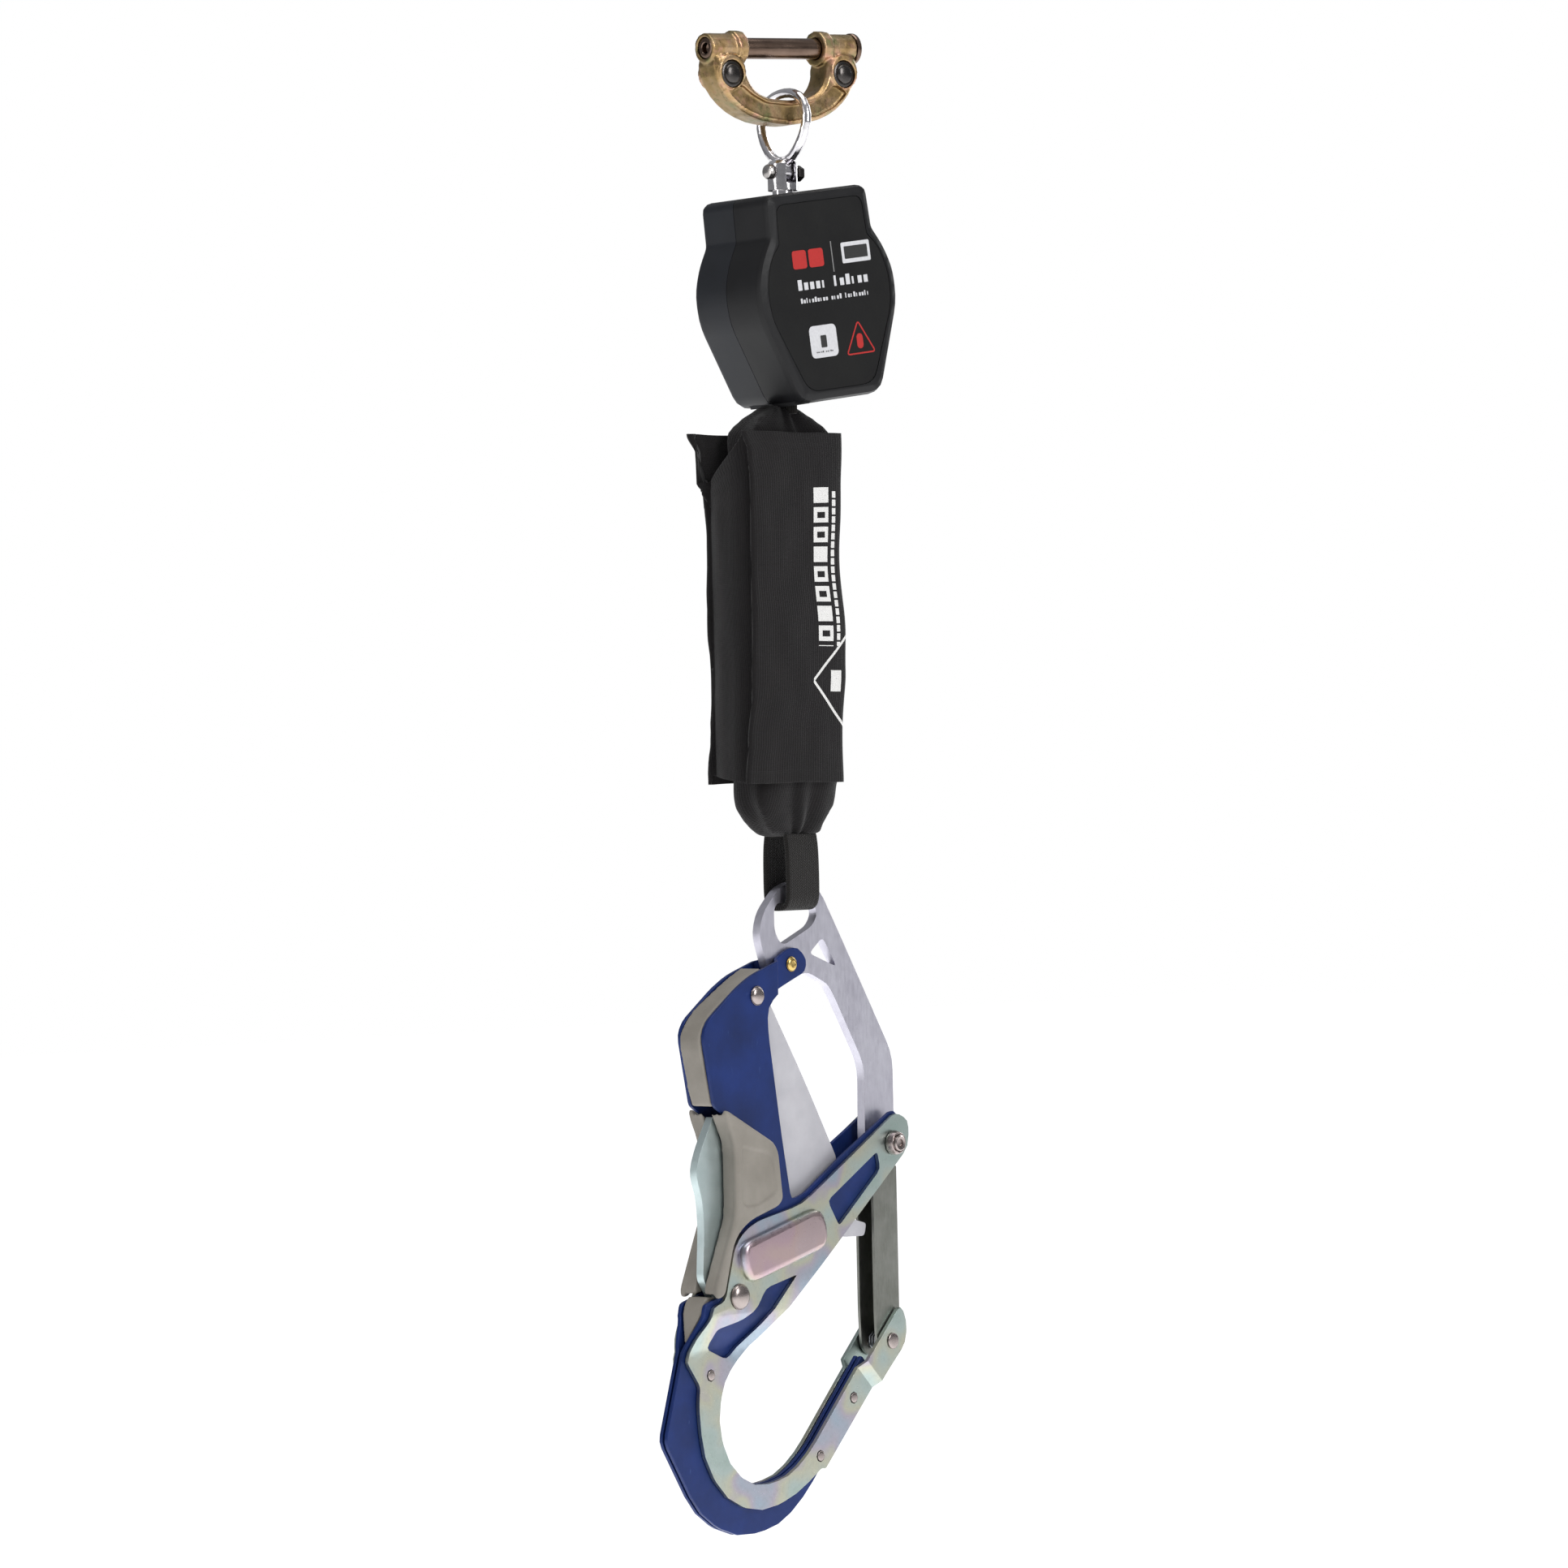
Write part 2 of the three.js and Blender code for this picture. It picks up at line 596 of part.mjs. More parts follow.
function buildHousing() {
  const holder = group(
    part('housing_front_shell', housingShell(-1), blackPlastic),
    part('housing_rear_shell', housingShell(1), blackPlastic),
    part('front_label', frontLabel(), labelFilm),
    part('web_guide', webGuide(), blackPlastic),
    part('frame_plate_front', framePlateShape(-1), zincPlate),
    part('frame_plate_rear', framePlateShape(1), zincPlate),
    part('drum', drumShape(), zincPlate),
    part('drum_shaft', drumShaft(), brightSteel),
    part('wound_web', woundWeb(), blackWeb),
    part('web_run', webRun(), blackWeb),
    part('pawl_plate', pawlPlate(), zincPlate),
    part('ratchet_ring', ratchetRing(), darkSteel),
    part('power_spring', powerSpring(), springSteel),
    part('spring_cup', springCup(), blackPlastic),
  );
  screwPlaces.forEach((place, index) => {
    holder.add(part(`housing_screw_${index + 1}`, housingScrew(place), darkSteel));
  });
  pawlAngles.forEach((angle, index) => {
    holder.add(part(`pawl_${index + 1}`, pawlShape(angle), darkSteel));
  });
  holder.position.set(swivel.x, 0, housing.topZ);
  holder.rotation.y = deg(housing.roll);
  return holder;
}

// ---------------------------------------------------------------- lifeline and energy absorber

function lifelineWeb() {
  const half = line.width / 2;
  return box(line.x - line.thick / 2, line.x + line.thick / 2, -half, half, line.bottom, line.top);
}

function pouchLevels(inset) {
  const { x, top, bottom, halfWidth, halfDepth } = pouch;
  const end = inset * 0.9;
  const levels = [
    [top - end, 0.36, 0.55, 6], [top - 4 - end, 0.66, 0.85, 4], [top - 14, 0.96, 1, 1],
    [(top + bottom) / 2, 1, 1, 0], [bottom + 26, 1, 1, 0], [bottom + 8 + end, 0.72, 0.85, -3],
    [bottom + end, 0.52, 0.6, -4],
  ];
  return levels.map(([z, wide, deep, shift]) => ({
    z, x: x + shift, halfWidth: halfWidth * wide - inset, halfDepth: halfDepth * deep - inset,
  })).reverse();
}

function pouchShape() {
  const shell = cut(loft(pouchLevels(0)), loft(pouchLevels(pouch.skin)));
  const topSlot = box(line.x - 3, line.x + 3, -6, 6, pouch.top - 8, pouch.top + 4);
  const bottomSlot = box(webLoop.x - 11, webLoop.x + 11, -5.5, 5.5, pouch.bottom - 4, pouch.bottom + 8);
  return cut(shell, topSlot, bottomSlot);
}

function absorberPack() {
  const { x, top, bottom } = pouch;
  const middle = (top + bottom) / 2;
  return loft([
    { z: middle - 70, x, halfWidth: 18, halfDepth: 8 },
    { z: middle + 70, x, halfWidth: 18, halfDepth: 8 },
  ], 0.3);
}

// The cover is one wrap: a front panel, a left side and a back flap, open on the right.
function coverShape() {
  const { left, right, front, back, top, bottom, skin } = cover;
  const wrap = outline([
    [right, front], [left, front, 4], [left, back, 4], [right - 14, back],
    [right - 14, back - skin], [left + skin, back - skin, 3], [left + skin, front + skin, 3], [right, front + skin],
  ]);
  const geometry = new THREE.ExtrudeGeometry(wrap, { depth: top - bottom, curveSegments: 4, bevelEnabled: false });
  return geometry.translate(0, 0, bottom);
}

function webLoopShape() {
  const { x, width, thick, top, sag, halfGap } = webLoop;
  const outside = outline([
    [-halfGap - thick, top], [-halfGap - thick, sag + 6, 6], [-5, sag, 4], [5, sag, 4],
    [halfGap + thick, sag + 6, 6], [halfGap + thick, top],
  ]);
  const inside = outline([
    [-halfGap, top - 5], [-halfGap, sag + thick + 5, 3], [-3.4, sag + thick, 2], [3.4, sag + thick, 2],
    [halfGap, sag + thick + 5, 3], [halfGap, top - 5],
  ]);
  const geometry = new THREE.ExtrudeGeometry(withHoles(outside, inside), {
    depth: width, curveSegments: 3, bevelEnabled: false,
  });
  geometry.rotateY(Math.PI / 2).rotateX(Math.PI / 2).translate(x - width / 2, 0, 0);
  return geometry.rotateZ(deg(hookTurn));
}

function buildAbsorber() {
  return group(
    part('lifeline_web', lifelineWeb(), blackWeb),
    part('absorber_pack', absorberPack(), blackWeb),
    part('absorber_pouch', pouchShape(), blackFabric),
    part('absorber_cover', coverShape(), blackFabric),
    part('web_loop', webLoopShape(), blackWeb),
  );
}

// ---------------------------------------------------------------- hook

function eyePlateShape() {
  const shape = outline([
    [-2.4, 11, 9], [-14.5, 8, 7], [-27.2, -4.3, 10], [-30.3, -15, 8], [-24, -33, 3], [-14, -39.5, 2], [4.7, -33.9, 5],
    [20.5, -41, 4], [25, -47, 4], [47.2, -82.5, 8], [46.4, -120, 3], [48, -132, 8], [67, -132, 8], [69, -120, 4],
    [69, -78, 8], [30, -16, 10], [14.5, 8, 8],
  ]);
  const eye = outline([
    [-16.5, 0.2, 3], [11, 0.2, 3], [13.8, -6, 4], [9.5, -11.8, 3], [-13.2, -21, 4], [-18.8, -14, 5], [-18.8, -3, 3],
  ]);
  const window = outline([[17.2, -17.5, 3], [27.6, -32.5, 3], [7, -25.2, 3]]);
  const { halfThick } = eyePlate;
  const bores = [jawBolt, brassRivet].map(({ x, z, radius }) => boreY(x, z, radius));
  return cut(plate(withHoles(shape, eye, window), -halfThick, halfThick), ...bores);
}

// A sheet that follows a bent line: the line gives [place along the sheet, face height].
function bentSheetZ(faceLine, thick, left, right) {
  const face = faceLine.map(([z, height]) => [-height, z]);
  const back = faceLine.map(([z, height]) => [-height + thick, z]).reverse();
  return bar([...face, ...back], left, right);
}

function bentSheetX(faceLine, thick, z0, z1) {
  const face = faceLine.map(([x, height]) => [x, -height]);
  const back = faceLine.map(([x, height]) => [x, -height + thick]).reverse();
  const section = outline([...face, ...back]);
  const geometry = new THREE.ExtrudeGeometry(section, { depth: z1 - z0, bevelEnabled: false });
  return geometry.translate(0, 0, z0);
}

const joggleZ = [-197, -214];

function bluePlateShape() {
  const shape = outline([
    [-20.5, -27, 2], [-12, -22.2, 4], [-4, -21.6, 5], [2.4, -28, 5], [1.2, -34, 5], [-15, -40, 2], [-22.4, -43, 3],
    [-32, -50, 6], [-31.9, -62, 8], [-23.7, -113, 10], [-17.5, -145, 3], [-7, -142.5, 3], [21, -126, 6],
    [62, -104.5, 4], [67, -112, 8], [66, -124, 8], [58, -131, 4], [2, -175, 6], [-42, -209.5, 4], [-56, -218.5, 8],
    [-66, -229, 12], [-71.6, -249, 14], [-64, -272, 14], [-45, -283.6, 14], [-20, -281.2, 10], [-2, -270, 8],
    [40, -226.5, 1], [48, -234.5, 1], [10, -276, 6], [-6, -292.5, 12], [-25, -304.5, 16], [-56, -307.5, 18],
    [-82, -294, 12], [-106, -256, 4], [-91.5, -211, 5], [-84, -199, 4], [-82.5, -191.5, 2], [-64, -186.5, 3],
    [-55.5, -158, 6], [-55.5, -114, 6], [-60, -104, 4], [-72.6, -96.5, 2], [-79.8, -62, 6], [-76, -55, 6],
    [-54, -39.6, 8], [-43, -34, 4],
  ]);
  const bores = [jawBolt, triggerPivot, brassRivet, leverPivot, ...bowlRivets]
    .map(({ x, z, radius }) => boreY(x, z, radius));
  const flat = cut(plate(shape, -20, 0, { segments: 2 }), ...bores);
  const { face, thick, lowFace } = blue;
  const main = bentSheetZ([[-20, face], [joggleZ[0], face], [joggleZ[1], lowFace], [-320, lowFace]], thick, -120, 80);
  const tabFace = eyePlate.halfThick + gap + thick;
  const tab = bentSheetX([[-60, face], [-24, face], [-20, tabFace], [20, tabFace]], thick, -45, 0);
  const tabBlock = box(-33, 10, -30, 10, -45, 10);
  const sheet = join(cut(main, tabBlock), common(tab, tabBlock));
  return common(flat, sheet);
}

function clevisSheet() {
  const { lowFace, clevisFace, thick } = outer;
  const sheet = bentSheetX([[-80, lowFace], [30.5, lowFace], [35, clevisFace], [80, clevisFace]], thick, -80, 80);
  return sheet.rotateY(deg(-45)).translate(16, 0, -257);
}

function outerPlateShape() {
  const shape = outline([
    [60.5, -106.5, 3], [70, -110.5, 4], [70, -124, 6], [60, -132, 5], [2.3, -177.5, 6], [-42, -210.8, 4],
    [-56, -220, 8], [-66, -230, 12], [-71, -249, 14], [-64, -271, 14], [-45, -283.9, 14], [-20, -281, 10],
    [-4, -271, 8], [34, -232, 2], [63.5, -202.5, 4], [68, -211, 6], [67, -222, 6], [52, -235.5, 3], [8, -279.5, 1],
    [5, -279, 1], [-14, -290, 14], [-40, -296.5, 16], [-66, -288, 16], [-82, -266, 16], [-84.4, -240, 8],
    [-83.2, -231, 2], [-92, -219, 2], [-88, -208, 4], [-80.5, -199, 4], [-79, -193, 3], [-70.4, -190.5, 3],
    [-62.6, -165, 6], [-56, -158, 6], [-46, -153.5, 5], [-12, -147.5, 8],
  ]);
  const upperWindow = outline([[45.5, -125, 2], [47.6, -134, 3], [15.2, -160, 2], [6.8, -147, 3]]);
  const lowerWindow = outline([
    [-17, -181.5, 2], [-41, -186.5, 4], [-46.5, -195, 4], [-56, -200.5, 4], [-74, -204, 2], [-79, -213, 3],
    [-64, -219.5, 3], [-42, -204, 3],
  ]);
  const bores = [jawBolt, gatePivot, leverPivot, ...bowlRivets].map(({ x, z, radius }) => boreY(x, z, radius));
  const windows = [upperWindow, lowerWindow].map((window) => plate(window, -21, 1, { segments: 2 }));
  const flat = cut(plate(shape, -20, 0, { segments: 2 }), ...windows, ...bores);
  const { face, thick, lowFace } = outer;
  const main = bentSheetZ([[-90, face], [joggleZ[0], face], [joggleZ[1], lowFace], [-320, lowFace]], thick, -120, 80);
  const legBlock = box(-10, 90, -30, 10, -330, -200);
  const sheet = join(cut(main, legBlock), common(clevisSheet(), legBlock));
  return cut(join(common(flat, sheet), raisedPad()), padHollow());
}

function padOutline(grow) {
  const halfLength = embossedPad.halfLength + grow;
  const halfHeight = embossedPad.halfHeight + grow;
  return outline([
    [-halfLength, -halfHeight], [halfLength, -halfHeight], [halfLength, halfHeight], [-halfLength, halfHeight],
  ], halfHeight * 0.95);
}

function atPad(geometry) {
  return geometry.rotateY(-deg(embossedPad.tilt)).translate(embossedPad.x, 0, embossedPad.z);
}

// The long pad with soft edges that is pressed outwards in each outer plate.
function raisedPad() {
  const { rise, soft } = embossedPad;
  const settings = { segments: 4, bevel: soft, bevelSegments: 3 };
  const cushion = atPad(plate(padOutline(0), -outer.face - rise, -outer.face + soft + 1, settings));
  return common(cushion, box(-80, 20, -30, -outer.face + 1, -200, -130));
}

function padHollow() {
  const { face, thick } = outer;
  return atPad(plate(padOutline(-3), -face - embossedPad.rise + 2, -face + thick + 1, { segments: 4 }));
}

function gripHalfShape() {
  const shape = outline([
    [-69, -97.5, 3], [-34, -115.5, 2], [-30.5, -120, 4], [-27.5, -144, 4], [-31, -147.2, 3], [-52, -152.8, 6],
    [-60.5, -158.5, 6], [-64.8, -164.5, 4], [-71.6, -187.6, 2], [-77, -189.5, 2], [-77.5, -185, 3], [-67, -161, 8],
    [-62, -150, 8], [-62, -115, 8], [-67.5, -104, 4],
  ]);
  const padArea = outline([[-58, -116, 3], [-36, -121, 4], [-32, -140, 4], [-47, -146, 4], [-58, -146, 4]]);
  const wrap = plate(shape, -grip.face, -blue.face - 0.35, { segments: 2, bevel: 1.2, bevelSegments: 1 });
  const pad = plate(padArea, -grip.face - 1, -grip.face + 0.9, { segments: 3 });
  const lipShape = outline([
    [-69, -99.5, 2], [-67.4, -104, 3], [-61.6, -115, 6], [-61.6, -150, 8], [-66.6, -161, 8], [-77, -185, 1],
    [-76.5, -187.2, 1], [-70.5, -186, 2], [-60.8, -160, 6], [-57, -150, 4], [-57, -116, 4], [-60.5, -107.5, 2],
    [-66, -102.5, 1],
  ]);
  const lip = plate(lipShape, -blue.face - 1, -grip.slot, { segments: 3 });
  return cut(join(wrap, lip), pad);
}

function gripSpineShape() {
  const shape = outline([
    [-34, -30.5, 2], [-47, -36.5, 10], [-72, -51, 8], [-81.5, -62, 7], [-76, -86, 20], [-72.5, -97, 2],
    [-67, -95.5, 2], [-70.5, -84, 20], [-75, -63, 6], [-68, -55, 8], [-46, -40.5, 8], [-33, -34.8, 2],
  ]);
  const inside = blue.face - blue.thick - gap;
  return plate(shape, -inside, inside);
}

function gripTailShape() {
  const section = bar([
    [-5.9, -188.5], [-5.9, -196], [-0.6, -209.5], [0.6, -209.5], [5.9, -196], [5.9, -188.5],
  ], -100, -60);
  const shape = outline([
    [-74, -186, 1], [-80.5, -190, 2], [-84, -199, 4], [-88.5, -211, 3], [-79, -211, 2], [-71, -193, 2],
  ]);
  return common(section, plate(shape, -20, 20));
}

function palmLeverShape() {
  const shape = outline([
    [-66.5, -101.5, 1], [-76, -117, 10], [-80.5, -128.5, 10], [-75.8, -141, 14], [-74.8, -155, 12], [-76.4, -180, 3],
    [-66, -195.5, 6], [-54.5, -192, 5], [-57, -184, 5], [-65.5, -181, 4], [-66.5, -168, 6], [-60.5, -150, 8],
    [-60, -118, 8],
  ]);
  return cut(plate(shape, -2.2, 2.2), boreY(leverPivot.x, leverPivot.z, leverPivot.radius));
}

function triggerShape() {
  const shape = outline([
    [-40, -39, 4], [-34, -40.5, 4], [-24, -48, 3], [1, -87, 20], [24.5, -127.5, 3], [19.5, -146, 6],
    [30, -157, 4], [46, -161, 2], [44.3, -167.2, 2], [26, -166.6, 4], [0, -152, 12], [-23, -139, 6], [-33, -96, 12],
    [-38, -62, 8], [-45.2, -46, 5], [-44.5, -41, 3],
  ]);
  return cut(plate(shape, -2.4, 2.4), boreY(triggerPivot.x, triggerPivot.z, triggerPivot.radius));
}

function gateShape() {
  const { inner, back, halfWidth, skin, top } = gateBar;
  const cheek = outline([
    [inner, top, 1], [back, top, 1], [back, gatePivot.z - 4, 6], [gatePivot.x, gatePivot.z - 9, 6],
    [gatePivot.x - 8, gatePivot.z - 4, 6], [inner, gatePivot.z + 14, 4],
  ]);
  const inside = box(inner - 12, back - skin, -halfWidth + skin, halfWidth - skin, -240, top + 5);
  const channel = cut(plate(cheek, -halfWidth, halfWidth), inside);
  return cut(channel, boreY(gatePivot.x, gatePivot.z, gatePivot.radius));
}

function gateSpring() {
  const coil = coilSpring(4.6, 0.55, 4, -3.4, 3.4);
  return coil.translate(gatePivot.x, 0, gatePivot.z);
}

function jawBoltShape() {
  const { x, z, radius } = jawBolt;
  const face = outer.face + gap;
  const shank = [[0, -face - 5], [radius, -face - 5], [radius, face]];
  const head = [[5.6, face], [5.4, face + 3.4], [3.6, face + 4.8], [0, face + 5]];
  return cut(turnedY([...shank, ...head], x, z, 14), rodY(2, face + 3, face + 8, x, z, 6));
}

function jawNutShape() {
  const { x, z, radius } = jawBolt;
  const face = outer.face + gap;
  const nut = turnedY([[0, -face - 4], [5.4, -face - 4], [6.2, -face - 1.6], [6.2, -face], [0, -face]], x, z, 12);
  return cut(nut, boreY(x, z, radius, 0.1));
}

function flushRivet({ x, z, radius }) {
  const end = outer.lowFace + 0.4;
  return turnedY([[0, -end], [radius - 0.4, -end], [radius, -end + 0.4], [radius, end - 0.4], [radius - 0.4, end],
    [0, end]], x, z, 10);
}

function buildHook() {
  const bluePlate = bluePlateShape();
  const outerPlate = outerPlateShape();
  const gripHalf = gripHalfShape();
  const holder = group(
    part('eye_plate', eyePlateShape(), stampedSteel),
    part('blue_plate_front', bluePlate, bluePaint),
    part('blue_plate_rear', mirroredY(bluePlate), bluePaint),
    part('outer_plate_front', outerPlate, zincPlate),
    part('outer_plate_rear', mirroredY(outerPlate), zincPlate),
    part('grip_half_front', gripHalf, greyGrip),
    part('grip_half_rear', mirroredY(gripHalf), greyGrip),
    part('grip_spine', gripSpineShape(), greyGrip),
    part('grip_tail', gripTailShape(), greyGrip),
    part('palm_lever', palmLeverShape(), brightSteel),
    part('trigger', triggerShape(), triggerPaint),
    part('gate', gateShape(), gateSteel),
    part('gate_spring', gateSpring(), springSteel),
    part('gate_pivot_rivet', domedRivet(gatePivot, 4, outer.clevisFace + gap, 0.8), rivetSteel),
    part('jaw_bolt', jawBoltShape(), rivetSteel),
    part('jaw_nut', jawNutShape(), rivetSteel),
    part('trigger_rivet', domedRivet(triggerPivot, 4.8, blue.face + gap, 2.2), rivetSteel),
    part('lever_rivet', domedRivet(leverPivot, 6.4, outer.face + gap, 3), rivetSteel),
    part('brass_rivet', domedRivet(brassRivet, 4, 5, 1.7), brass),
  );
  bowlRivets.forEach((rivet, index) => {
    holder.add(part(`bowl_rivet_${index + 1}`, flushRivet(rivet), rivetSteel));
  });
  holder.position.z = hookTop;
  holder.rotation.z = deg(hookTurn);
  return holder;
}

export default group(buildConnector(), buildSwivel(), buildHousing(), buildAbsorber(), buildHook());
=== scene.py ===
import bpy
import json
import math
from mathutils import Matrix, Vector, noise


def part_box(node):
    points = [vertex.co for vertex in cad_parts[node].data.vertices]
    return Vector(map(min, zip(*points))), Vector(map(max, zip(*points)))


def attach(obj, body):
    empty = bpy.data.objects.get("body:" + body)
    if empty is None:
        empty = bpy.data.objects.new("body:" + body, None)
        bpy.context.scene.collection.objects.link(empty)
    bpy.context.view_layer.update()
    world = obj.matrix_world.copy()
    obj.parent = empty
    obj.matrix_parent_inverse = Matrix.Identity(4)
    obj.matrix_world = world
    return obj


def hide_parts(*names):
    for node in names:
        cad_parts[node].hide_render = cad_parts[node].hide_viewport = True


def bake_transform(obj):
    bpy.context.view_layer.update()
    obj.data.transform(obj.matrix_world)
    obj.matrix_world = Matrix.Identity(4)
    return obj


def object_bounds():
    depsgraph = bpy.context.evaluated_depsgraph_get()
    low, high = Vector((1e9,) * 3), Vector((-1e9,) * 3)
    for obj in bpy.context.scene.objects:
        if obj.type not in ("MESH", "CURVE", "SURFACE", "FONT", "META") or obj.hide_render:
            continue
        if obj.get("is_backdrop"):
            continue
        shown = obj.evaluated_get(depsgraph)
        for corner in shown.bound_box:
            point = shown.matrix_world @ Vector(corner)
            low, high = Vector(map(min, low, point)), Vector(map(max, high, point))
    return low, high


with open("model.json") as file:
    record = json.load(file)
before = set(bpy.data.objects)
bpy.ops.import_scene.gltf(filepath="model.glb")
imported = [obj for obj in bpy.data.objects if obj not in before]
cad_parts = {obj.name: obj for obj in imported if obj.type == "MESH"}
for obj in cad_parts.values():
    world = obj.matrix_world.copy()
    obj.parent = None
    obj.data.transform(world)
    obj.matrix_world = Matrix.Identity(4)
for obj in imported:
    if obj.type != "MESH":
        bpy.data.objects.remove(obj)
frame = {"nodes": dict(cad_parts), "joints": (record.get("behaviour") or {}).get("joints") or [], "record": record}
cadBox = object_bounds()
nodes = frame["nodes"]
mm = 0.001
print("frame loaded,", len(nodes), "nodes")


# ---- small helpers -------------------------------------------------

def colour(code, alpha=1.0):  # "#rrggbb" to linear light
    parts = [int(code[i:i + 2], 16) / 255 for i in (1, 3, 5)]
    return (*[p / 12.92 if p <= 0.04045 else ((p + 0.055) / 1.055) ** 2.4 for p in parts], alpha)


def deselect():
    for thing in bpy.context.selected_objects:
        thing.select_set(False)


def pick(thing):
    deselect()
    thing.select_set(True)
    bpy.context.view_layer.objects.active = thing


def settle(thing):  # the place goes into the mesh
    pick(thing)
    bpy.ops.object.transform_apply(location=True, rotation=True, scale=True)


def applyAll(thing):
    pick(thing)
    for modifier in list(thing.modifiers):
        bpy.ops.object.modifier_apply(modifier=modifier.name)


def tidyNormals(thing, merge=0.00001):
    pick(thing)
    bpy.ops.object.mode_set(mode="EDIT")
    bpy.ops.mesh.select_all(action="SELECT")
    bpy.ops.mesh.remove_doubles(threshold=merge)
    bpy.ops.mesh.normals_make_consistent(inside=False)
    bpy.ops.object.mode_set(mode="OBJECT")


def smooth(thing, degrees=40):
    pick(thing)
    bpy.ops.object.shade_smooth_by_angle(angle=math.radians(degrees))


def addModifier(thing, kind, **settings):
    modifier = thing.modifiers.new(kind.title(), kind)
    for key, value in settings.items():
        setattr(modifier, key, value)
    return modifier


# ---- shader maths --------------------------------------------------

class Wire:  # one socket, so that shader maths reads as plain sums
    def __init__(self, tree, socket=None):
        self.tree, self.socket = tree, socket

    def make(self, kind, settings=None, values=None, out=0):
        node = self.tree.nodes.new(kind)
        for key, value in (settings or {}).items():
            if key == "stops":
                self.setStops(node.color_ramp, value)
            else:
                setattr(node, key, value)
        for key, value in (values or {}).items():
            if isinstance(value, Wire):
                self.tree.links.new(value.socket, node.inputs[key])
            else:
                node.inputs[key].default_value = value
        return Wire(self.tree, node.outputs[out])

    def setStops(self, ramp, stops):
        while len(ramp.elements) > 1:
            ramp.elements.remove(ramp.elements[-1])
        for index, (place, shade) in enumerate(stops):
            element = ramp.elements[0] if index == 0 else ramp.elements.new(place)
            element.position = place
            element.color = shade if len(shade) == 4 else (*shade, 1)

    def sum(self, operation, first, second):
        return self.make("ShaderNodeMath", {"operation": operation}, {0: first, 1: second})

    def __add__(self, other): return self.sum("ADD", self, other)
    def __sub__(self, other): return self.sum("SUBTRACT", self, other)
    def __rsub__(self, other): return self.sum("SUBTRACT", other, self)
    def __mul__(self, other): return self.sum("MULTIPLY", self, other)
    def __truediv__(self, other): return self.sum("DIVIDE", self, other)
    def __mod__(self, other): return self.sum("FLOORED_MODULO", self, other)
    def __lt__(self, other): return self.sum("LESS_THAN", self, other)
    def __gt__(self, other): return self.sum("GREATER_THAN", self, other)
    def __pow__(self, other): return self.sum("POWER", self, other)
    def __abs__(self): return self.sum("ABSOLUTE", self, 0.0)
    __radd__ = __add__
    __rmul__ = __mul__

    def clip(self, low, high):  # 0 below low, 1 above high
        return self.make("ShaderNodeMapRange", {"clamp": True}, {0: self, 1: low, 2: high, 3: 0.0, 4: 1.0})

    def wave(self, turns):  # 0 to 1, turns times for each unit
        return self.sum("SINE", self * (2 * math.pi * turns), 0.0) * 0.5 + 0.5

    def blendTo(self, mask, other):  # colours
        return self.make("ShaderNodeMix", {"data_type": "RGBA"}, {0: mask, 6: self, 7: other}, 2)


class Finish:  # a material, its shader and the coordinates that its pattern reads
    def __init__(self, name, base, rough, metal=0.0, **fixed):
        self.material = bpy.data.materials.new(name)
        self.material.use_nodes = True
        tree = self.material.node_tree
        self.shader = tree.nodes["Principled BSDF"]
        self.start = Wire(tree)
        self.set("Base Color", colour(base))
        self.set("Roughness", rough)
        self.set("Metallic", metal)
        for key, value in fixed.items():
            self.set(key.replace("_", " "), value)
        self.here = self.start.make("ShaderNodeTexCoord", out="Object")
        self.material.diffuse_color = colour(base)

    def set(self, name, value):
        if isinstance(value, Wire):
            value.tree.links.new(value.socket, self.shader.inputs[name])
        else:
            self.shader.inputs[name].default_value = value

    def noise(self, scale, detail=3.0, roughness=0.55, where=None, stretch=None):
        place = where or self.here
        if stretch:
            place = self.start.make("ShaderNodeMapping", None, {"Vector": place, "Scale": stretch})
        return self.start.make("ShaderNodeTexNoise", None,
                               {"Vector": place, "Scale": scale, "Detail": detail, "Roughness": roughness})

    def axes(self, where=None):
        split = where or self.here
        return [self.start.make("ShaderNodeSeparateXYZ", None, {0: split}, out) for out in (0, 1, 2)]

    def ramp(self, wire, stops):
        return self.start.make("ShaderNodeValToRGB", {"stops": stops}, {0: wire})

    def bump(self, height, strength=0.3, depth=0.0002):
        self.set("Normal", self.start.make("ShaderNodeBump", None,
                                           {"Strength": strength, "Distance": depth, "Height": height}))


def greyRange(wire, low, high):
    return wire.clip(0.25, 0.75) * (high - low) + low


# ---- finishes -------------------------------------------------------

def makeYellowZinc():
    finish = Finish("yellowZinc", "#a08860", 0.36, 1.0)
    patches = finish.noise(95, 4)
    tint = finish.ramp(patches, [(0.3, colour("#7a6240")), (0.45, colour("#a98c62")),
                                 (0.56, colour("#b79a78")),
                                 (0.68, colour("#8f8c62"))])
    pink = finish.noise(160, 2).clip(0.55, 0.72)
    grime = finish.noise(420, 5).clip(0.56, 0.7)
    tint = tint.blendTo(pink * 0.65, colour("#b98a74")).blendTo(grime * 0.6, colour("#43361f"))
    litRim = abs(finish.axes()[1]).clip(0.0048, 0.0068)  # painted shade: the sunk web is painted darker and greener than its rims, standing in for the shade in the recess
    tint = tint.blendTo((1 - litRim) * 0.55, colour("#5d5636"))
    # painted highlight: the rims get lighter pink patches, standing in for the light on them; the pink patches are
    # also the zinc's own tint
    finish.set("Base Color", tint.blendTo(litRim * pink * 0.5, colour("#c79c86")))
    finish.set("Roughness", greyRange(finish.noise(300, 4), 0.3, 0.5))
    finish.bump(finish.noise(1100, 4) + finish.noise(330, 2) * 1.6, 0.35, 0.00025)
    return finish.material


